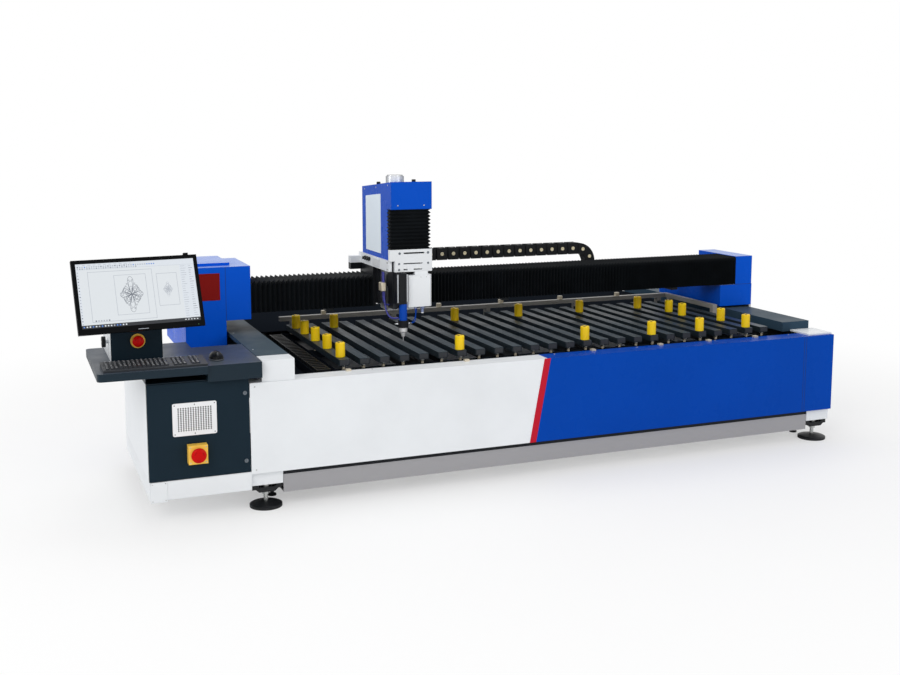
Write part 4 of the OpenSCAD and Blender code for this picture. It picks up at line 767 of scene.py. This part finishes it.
class ENGRAVER_OT_fasteners(bpy.types.Operator):
    """Sets the screws of the panels, covers, boxes and doors"""
    bl_idname = "engraver.fasteners"
    bl_label = "Fasteners"

    def execute(self, context):
        radius, small = context.scene.engraver_sizes.screw_head, 0.0024
        bed = Piece("panel_screws", "zinc")
        for z in (190, 572):
            screw(bed, at(22, 0, z), FRONT, radius * 0.8)
        for x in (3042, 3056):
            bed.block(at(x, -0.3, 174), at(x + 1.6, 0, 588), "dark gap")
        lo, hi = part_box("front_panel_white")
        for i in range(7):
            screw(bed, (lo.x + 0.12 + i * 0.48, lo.y + 0.085, hi.z), UP, radius * 0.8)
        lo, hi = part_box("rail_covers")
        for y in (0.16, 0.62, 1.10, 1.58):
            screw(bed, (lo.x + 0.018, lo.y + y, hi.z), UP, radius)
        bed.done("root")
        door = Piece("door_screws", "zinc")
        lo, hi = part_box("vent_grille")
        # Black plate just behind the grille's holes: a dark sheet that stands in for the shade inside the
        # cabinet
        rim = Vector((0.0135, 0, 0.0095))
        door.block(Vector((lo.x, hi.y + 0.0004, lo.z)) + rim, Vector((hi.x, hi.y + 0.0014, hi.z)) - rim,
                   "black plastic")
        for k in range(3):
            for z in (lo.z + 0.009, hi.z - 0.009):
                screw(door, (lo.x + 0.009 + k * (hi.x - lo.x - 0.018) / 2, lo.y + 0.001, z), FRONT, 0.0028,
                      "black plastic")
        lo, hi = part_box("lower_stop_box")
        for x in (lo.x + 0.008, hi.x - 0.008):
            for z in (lo.z + 0.008, hi.z - 0.008):
                screw(door, (x, lo.y, z), FRONT, 0.003)
        door.done("door")
        boxes = Piece("gantry_screws", "zinc")
        lo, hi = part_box("end_box_left")
        for z in (0.80, 0.985):
            for y in (lo.y + 0.03, lo.y + 0.34):
                screw(boxes, (lo.x, y, z), LEFT, radius)
        leg = at(42, 0, 755)
        boxes.block((leg.x - 0.0008, lo.y - 0.0004, leg.z), (leg.x + 0.0008, lo.y, hi.z - 0.015), "dark gap")
        lo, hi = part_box("end_box_right")
        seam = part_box("bellows_right")[0].z - 0.001
        boxes.block((hi.x - 0.30, lo.y - 0.0004, seam - 0.0016), (hi.x, lo.y, seam), "dark gap")
        boxes.done("gantry")
        plate = Piece("base_screws", "zinc")
        lo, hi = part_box("console_cabinet")
        plate.block((lo.x - 0.0003, lo.y + 0.024, lo.z + 0.002), (lo.x, lo.y + 0.0254, hi.z - 0.045),
                    "dark gap")
        for z in (lo.z + 0.05, hi.z - 0.09):
            screw(plate, (lo.x, lo.y + 0.012, z), LEFT, radius * 0.7)
        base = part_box("console_base")[0]
        for x in (base.x + 0.011, base.x + 0.067):
            for z in (0.1, 0.176):
                screw(plate, (x, base.y + 0.001, z), FRONT, small)
        plate.done("root")
        return {"FINISHED"}


class ENGRAVER_OT_table(bpy.types.Operator):
    """Closes the slat ends, hangs their nuts and marks the stops"""
    bl_idname = "engraver.table"
    bl_label = "Table details"

    def execute(self, context):
        count, pitch, width, wall, proud = 25, 0.1, 0.05, 0.0028, 0.0012
        nut = [(0, 0.0105), (0.0072, 0.0105)]
        plugs = Piece("slat_plugs", "key")
        lo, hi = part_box("slats")
        for i in range(count):
            x = lo.x + i * pitch
            for y0, y1 in ((lo.y - proud, lo.y + 0.006), (hi.y - 0.006, hi.y + proud)):
                plugs.block((x + wall, y0, lo.z + wall), (x + width - wall, y1, hi.z - wall), None, 0.0008)
            for y in (lo.y + 0.02, hi.y - 0.02):
                plugs.turned((x + width / 2, y, lo.z - 0.0075), UP, nut, "zinc", 6)
        plugs.done("root")
        tops = Piece("stop_screws", "black iron")
        for centre in flat_ends("stops", 2, max):
            tops.turned(centre, UP, [(0, 0.0062), (0.0007, 0.0058), (0.0007, 0.0034), (0.0002, 0.003),
                                     (0.0002, 0)])
        tops.done("root")
        return {"FINISHED"}


class ENGRAVER_OT_keyboard(bpy.types.Operator):
    """Puts caps with plain marks on the keys, and three small lamps"""
    bl_idname = "engraver.keyboard"
    bl_label = "Keyboard"

    def execute(self, context):
        rng = random.Random(7)
        piece = Piece("key_caps", "key")
        gap, cap, ink, thick, thin = 0.0006, 0.0016, 0.0002, 0.0026, 0.0022
        for r, c, low, (w, d) in self.keys():
            piece.block(low + Vector((gap, gap, 0)), low + Vector((w - gap, d - gap, cap)), None, 0.0006)
            if r == 0 and 3 <= c <= 9:
                continue
            x, y, z = low + Vector((0.0035, d - 0.0100, cap))
            wide, tall = rng.choice(((0.0082, 0.0066), (0.0090, 0.0060), (0.0074, 0.0070)))
            strokes = [(x, y, x + wide, y + thick), (x, y, x + thin, y + tall)]
            if rng.random() < 0.5:
                strokes.append((x, y + tall - 0.0015, x + wide, y + tall))
            if rng.random() < 0.4:
                strokes.append((x + wide - 0.0015, y, x + wide, y + tall))
            for x0, y0, x1, y1 in strokes:
                piece.block((x0, y0, z), (x1, y1, z + ink), "legend")
        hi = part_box("keyboard")[1]
        for i in range(3):
            x = hi.x - 0.075 + i * 0.014
            piece.block((x, hi.y - 0.0085, DESK_TOP + 0.0194), (x + 0.004, hi.y - 0.0065, DESK_TOP + 0.0200),
                        "lit green")
        piece.done("root")
        return {"FINISHED"}

    def keys(self):
        """Row, column, lower corner and size of every key."""
        lo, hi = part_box("keyboard")
        margin, key, rise, rows, gap = 0.012, 0.019, 0.008, 6, 0.003
        depth = (0.150 - 2 * margin) / rows
        for r in range(rows):
            for c in range(int((hi.x - lo.x - 2 * margin) / key)):
                if c not in (14, 18):
                    low = Vector((lo.x + margin + c * key, lo.y + margin + r * depth,
                                  DESK_TOP + 0.015 + rise * r / rows))
                    yield r, c, low, (key - gap, depth - gap)


class ENGRAVER_OT_mouse(bpy.types.Operator):
    """Adds the split between the mouse buttons and the rubber band round its foot"""
    bl_idname = "engraver.mouse"
    bl_label = "Mouse"

    def execute(self, context):
        lo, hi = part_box("mouse_body")
        middle, half, height = (lo + hi) / 2, (hi - lo) / 2, hi.z - lo.z
        piece = Piece("mouse_trim", "grey plastic")
        rings = []
        for i in range(41):
            a = 2 * math.pi * i / 40
            ring = []
            for z, grow in ((0.0008, 1.004), (0.0008, 1.016), (0.0060, 1.004), (0.0060, 0.985)):
                reach = grow * math.sqrt(max(0.0, 1 - (z / height) ** 2))
                ring.append(Vector((middle.x + half.x * reach * math.cos(a),
                                    middle.y + half.y * reach * math.sin(a), lo.z + z)))
            rings.append(ring)
        piece.sweep(rings)
        for y0, y1 in ((0.30, 0.98), (-0.98, -0.55)):
            rows = []
            for i in range(13):
                t = y0 + (y1 - y0) * i / 12
                z = lo.z + height * math.sqrt(max(0.0, 1 - t * t))
                rows.append([Vector((middle.x + dx, middle.y - half.y * t, z + dz))
                             for dx, dz in ((-0.0007, -0.001), (-0.0007, 0.0004), (0.0007, 0.0004),
                                            (0.0007, -0.001))])
            piece.sweep(rows, "dark gap", False, True)
        piece.done("root")
        return {"FINISHED"}


def monitor_frame():
    """Placement of the monitor's front plane: X to its right, Z up, -Y towards the operator."""
    pose = Matrix.Rotation(math.radians(7), 4, "Z") @ Matrix.Rotation(math.radians(-20.8), 4, "X")
    return Matrix.Translation(at(-450, 96, 1005)) @ pose


class ENGRAVER_OT_monitor(bpy.types.Operator):
    """Draws the plain design program on the screen, with a lace-like rosette, and dresses the bezel"""
    bl_idname = "engraver.monitor"
    bl_label = "Monitor"

    def execute(self, context):
        rng = random.Random(11)
        piece = Piece("screen_program", "lit panel", monitor_frame())
        half, low, top = 0.254, -0.137, 0.145

        def patch(x0, x1, z0, z1, finish="lit line", depth=0.0008):
            piece.block((x0, depth, z0), (x1, 0.001, z1), finish)

        def either(*names):
            return "lit " + rng.choice(names)

        # Menus and two rows of tools
        patch(-half, half, top - 0.026, top, "lit panel", 0.00085)
        patch(-half, half, top - 0.0262, top - 0.0256)
        for i in range(11):
            x = -half + 0.006 + i * 0.022
            patch(x, x + rng.uniform(0.009, 0.015), top - 0.007, top - 0.0052)
        for i in range(34):
            x = -half + 0.006 + i * 0.0098
            patch(x, x + 0.005, top - 0.0165, top - 0.0115, either("line", "line", "motif", "blue"))
            if i < 26:
                patch(x, x + 0.0046, top - 0.0235, top - 0.0195, either("line", "line", "motif"))
        # Column of tools at the left
        patch(-half, -half + 0.012, low + 0.016, top - 0.026, "lit panel", 0.00085)
        for i in range(18):
            z = top - 0.036 - i * 0.0132
            patch(-half + 0.0038, -half + 0.0082, z - 0.0044, z, either("line", "motif"))
        # Sheets of the drawing
        pen = 0.0014
        for x0, x1, z0, z1 in ((-0.208, 0.065, -0.112, 0.108), (-0.100, 0.036, -0.088, 0.088),
                               (0.082, 0.172, -0.060, 0.085)):
            patch(x0, x1, z0, z0 + pen)
            patch(x0, x1, z1 - pen, z1)
            patch(x0, x0 + pen, z0, z1)
            patch(x1 - pen, x1, z0, z1)
        # List of values at the right
        patch(0.188, half, low + 0.016, top - 0.026, "lit panel", 0.00085)
        for i in range(24):
            z = top - 0.032 - i * 0.0102
            patch(0.192, 0.192 + rng.uniform(0.012, 0.024), z - 0.0016, z)
            patch(0.228, 0.228 + rng.uniform(0.008, 0.020), z - 0.0016, z, either("line", "motif"))
        for i in range(6):
            x = -0.196 + i * 0.011
            patch(x, x + 0.006, -0.109, -0.1035, either("line", "motif"))
        # Dark bar at the foot
        patch(-half, half, low, low + 0.015, "lit dark", 0.00085)
        for i in range(15):
            x = -half + 0.006 + i * 0.0125
            patch(x, x + 0.0062, low + 0.0045, low + 0.0105, either("panel", "white", "blue", "line"), 0.0007)
        for i in range(5):
            x = half - 0.070 + i * 0.013
            patch(x, x + 0.007, low + 0.0055, low + 0.0095, "lit white", 0.0007)
        self.rosette(piece, -0.032, 0.000, "lit motif")
        self.rosette(piece, 0.127, 0.012, "lit line", 0.42)
        # Mark, buttons and lamp on the lower bezel; the mark glows with the screen's line finish, a painted
        # highlight
        edge = -0.160
        piece.block((-0.022, -0.0003, edge + 0.004), (0.022, 0, edge + 0.0062), "lit line")
        for i in range(5):
            x = 0.175 + i * 0.012
            piece.block((x, -0.0012, edge + 0.0035), (x + 0.007, 0, edge + 0.0065), "gloss black", 0.0004)
        piece.block((0.240, -0.0003, edge + 0.004), (0.2425, 0, edge + 0.0062), "lit green")
        piece.done("monitor")
        knob = Piece("post_knob", "black plastic")
        centre = Vector((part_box("monitor_post")[0].x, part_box("post_front")[0].y + 0.120, 0.765))
        knob.turned(centre, LEFT, [(-0.0155, 0.0246), (-0.0005, 0.0252), (0.0012, 0.0235), (0.0012, 0)],
                    None, 40)
        knob.turned(centre + Vector((-0.0012, 0, 0)), LEFT, dome(0.006, 0.002), "zinc")
        knob.done("root")
        return {"FINISHED"}

    def rosette(self, piece, x, z, finish, size=1.0):
        """Pointed lattice of arcs in a lozenge, like a stencil for etched glass."""
        wide, tall, pen, bead = 0.0435 * size, 0.0705 * size, 0.0012 * max(size, 0.6), 0.0026 * size

        def reach(a):
            return 1 / (abs(math.cos(a)) / wide + abs(math.sin(a)) / tall)

        for turn in range(12):
            a = math.pi * (turn + 0.5) / 6 if turn % 3 == 1 else math.pi * turn / 6
            for share in (1.0, 0.74, 0.46):
                long, side = reach(a) * share * 1.12, 0.17 * tall * share
                points = []
                for i in range(25):
                    along, across = long * math.sin(math.pi * i / 24), side * math.sin(2 * math.pi * i / 24)
                    points.append((x + along * math.cos(a) - across * math.sin(a),
                                   z + along * math.sin(a) + across * math.cos(a)))
                piece.strip(points, pen, 0.0007, finish)
        for k in range(28):
            a = 2 * math.pi * (k + 0.5) / 28
            r = reach(a) * 1.04
            ring = [(x + r * math.cos(a) + bead * math.cos(math.pi * i / 5),
                     z + r * math.sin(a) + bead * math.sin(math.pi * i / 5)) for i in range(10)]
            piece.strip(ring, pen, 0.00065, finish, True)


class ENGRAVER_OT_stops(bpy.types.Operator):
    """Marks the turn arrows on the emergency stops"""
    bl_idname = "engraver.stops"
    bl_label = "Emergency stops"

    def execute(self, context):
        share, rise, sunk = 0.62, 0.010, 0.0004
        for body in ("upper_stop", "lower_stop"):
            node = body + "_head"
            lo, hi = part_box(node)
            middle, radius = (lo + hi) / 2, (hi.x - lo.x) / 2 * share
            # Depth of the domed face where the arrows lie
            depth = lo.y + rise * (1 - math.sqrt(1 - share * share)) - sunk
            piece = Piece(node + "_arrows", "arrow")
            for k in range(3):
                turns = [2 * math.pi * k / 3 + 0.2 * i for i in range(5)]
                points = [(middle.x + radius * math.cos(a), middle.z + radius * math.sin(a)) for a in turns]
                piece.strip(points, 0.0016, depth)
            piece.done(body)
        return {"FINISHED"}


class ENGRAVER_OT_head(bpy.types.Operator):
    """Adds screws and a block on the side bar, connectors, hoses, knobs, bolts and small tubes of the laser
    head
    """
    bl_idname = "engraver.head"
    bl_label = "Head details"

    def execute(self, context):
        self.carriage_trim()
        self.slide_trim()
        return {"FINISHED"}

    def carriage_trim(self):
        """Screws, block, connectors and knobs on the side bar and the cover."""
        piece = Piece("carriage_trim", "zinc")
        # Screws and a clamped block on the bar beside the cover
        for y in (486, 500):
            for z in (1006, 1040):
                screw(piece, at(817, y, z), LEFT, 0.0042)
        piece.block(at(811, 620, 1004), at(817.1, 720, 1044), "light grey", 0.002)
        plug = [(0, 0.011), (0.010, 0.011), (0.010, 0.008), (0.020, 0.008)]
        for y in (780, 812, 846):
            piece.turned(at(817, y, 1030), LEFT, plug, "black plastic")
        # Screws on the cover
        for y, z in ((500, 1430), (690, 1412), (880, 1395)):
            screw(piece, at(825, y, z), LEFT, 0.004)
        for x in (860, 1000):
            screw(piece, at(x, 450, 1330), FRONT, 0.0035)
        # Black knobs on the cover's roof, and strips that close the gaps beside the bellows
        knob = [(0, 0.0104), (0.0145, 0.0104), (0.0158, 0.0085), (0.0158, 0)]
        for x, y in ((839, 690), (953, 472)):
            piece.turned(at(x, y, 1446 - 0.0879 * (y - 450)), UP, knob, "black plastic", 28)
        for x in (823, 1025):
            piece.block(at(x, 731.5, 785), at(x + 12, 733.5, 994), "black plastic")
        piece.done("carriage")

    def slide_trim(self):
        """Clamp, bolts, small rails, air fittings, hoses and lens ring that ride on the slide."""
        piece = Piece("slide_trim", "zinc")
        # Clamp that ties the two hoses
        piece.block(at(789, 506, 893), at(814, 552, 937), "fitting", 0.003)
        # Bolts in the white plates
        for x, z, radius in ((868, 1089, 0.0066), (1021, 1089, 0.0066), (865, 1036, 0.0056),
                             (865, 1006, 0.0056), (1021, 1036, 0.0056)):
            piece.turned(at(x, 450.5, z), FRONT, dome(radius, 0.003), "lock metal")
        # Rails with their screws beside the laser
        for x in (846, 896):
            piece.block(at(x, 424.6, 842), at(x + 7, 427.9, 985), "machined", 0.0008)
            for k in range(4):
                screw(piece, at(x + 3.5, 424.6, 860 + 36 * k), FRONT, 0.0022, None, 0.0008)
        piece.block(at(858, 425.5, 850), at(884, 427.9, 975), "black plastic", 0.001)
        # Two small air fittings at the tube, with their hoses
        fitting = [(0, 0.006), (0.008, 0.006), (0.008, 0.0045), (0.014, 0.0045), (0.014, 0.0028),
                   (0.020, 0.0028)]
        for side, x in ((1, 911), (-1, 859)):
            piece.turned(at(x, 450, 730), (side, 0, 0), fitting, "chrome", 20)
        self.hose(piece, ((930, 450, 730), (950, 452, 742), (956, 462, 790), (946, 474, 850)), 0.0026, "blue")
        self.hose(piece, ((909, 462, 722), (940, 464, 734), (964, 472, 780), (968, 474, 834)), 0.0022, "blue")
        # Lens ring and screws of the camera
        lo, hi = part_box("camera_box")
        lens = at(1000, 480, 0)
        lens.z = lo.z + 0.0005
        piece.turned(lens, UP, [(0, 0.0085), (0.010, 0.0085)], "chrome")
        for inset in (0.030, 0.060):
            screw(piece, (hi.x - inset, lo.y + 0.002, hi.z - 0.030), FRONT, 0.002, None, 0.0008)
        piece.done("z_slide")

    def hose(self, piece, points, radius, finish):
        """Round hose on a smooth line through points."""
        points = [at(*p) for p in points]
        padded = [points[0], *points, points[-1]]
        path = []
        for p0, p1, p2, p3 in zip(padded, padded[1:], padded[2:], padded[3:]):
            for t in (k / 8 for k in range(8)):
                path.append(0.5 * (2 * p1 + (p2 - p0) * t + (2 * p0 - 5 * p1 + 4 * p2 - p3) * t * t
                                   + (3 * p1 - p0 - 3 * p2 + p3) * t ** 3))
        path.append(points[-1])
        side, rings = None, []
        for before, p, after in zip([path[0], *path], path, [*path[1:], path[-1]]):
            ahead = (after - before).normalized()
            side = (side - ahead * side.dot(ahead) if side else ahead.orthogonal()).normalized()
            up = ahead.cross(side)
            rings.append([p + radius * (math.cos(a) * side + math.sin(a) * up)
                          for a in (2 * math.pi * k / 14 for k in range(14))])
        rows = piece.sweep(rings, finish, True, True)
        piece.stamp([piece.bm.faces.new(row) for row in (rows[0][::-1], rows[-1])], finish)


# ---------------------------------------------------------------- panel and run

OPERATORS = (ENGRAVER_OT_paint, ENGRAVER_OT_bellows, ENGRAVER_OT_head_bellows, ENGRAVER_OT_chain,
             ENGRAVER_OT_fasteners, ENGRAVER_OT_table, ENGRAVER_OT_keyboard, ENGRAVER_OT_mouse,
             ENGRAVER_OT_monitor, ENGRAVER_OT_stops, ENGRAVER_OT_head, ENGRAVER_OT_studio)


class ENGRAVER_PT_panel(bpy.types.Panel):
    """Buttons and sizes of the engraver"""
    bl_idname = "ENGRAVER_PT_panel"
    bl_label = "Glass Engraving Machine"
    bl_space_type = "VIEW_3D"
    bl_region_type = "UI"
    bl_category = "Engraver"

    def draw(self, context):
        layout = self.layout
        for group in ("engraver_paints", "engraver_sizes", "engraver_studio"):
            box = layout.box()
            values = getattr(context.scene, group)
            for name in values.__annotations__:
                box.prop(values, name)
        for operator in OPERATORS:
            layout.operator(operator.bl_idname)


CLASSES = (EngraverPaints, EngraverSizes, EngraverStudio, *OPERATORS, ENGRAVER_PT_panel)


def register():
    for item in CLASSES:
        bpy.utils.register_class(item)
    bpy.types.Scene.engraver_paints = PointerProperty(type=EngraverPaints)
    bpy.types.Scene.engraver_sizes = PointerProperty(type=EngraverSizes)
    bpy.types.Scene.engraver_studio = PointerProperty(type=EngraverStudio)


def unregister():
    del bpy.types.Scene.engraver_studio
    del bpy.types.Scene.engraver_sizes
    del bpy.types.Scene.engraver_paints
    for item in reversed(CLASSES):
        bpy.utils.unregister_class(item)


def main():
    """Registers the add-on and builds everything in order."""
    register()
    for operator in OPERATORS:
        group, name = operator.bl_idname.split(".")
        if getattr(getattr(bpy.ops, group), name)() != {"FINISHED"}:
            raise RuntimeError(operator.bl_label + " did not finish")
    bpy.context.view_layer.update()


if __name__ == "__main__":
    main()
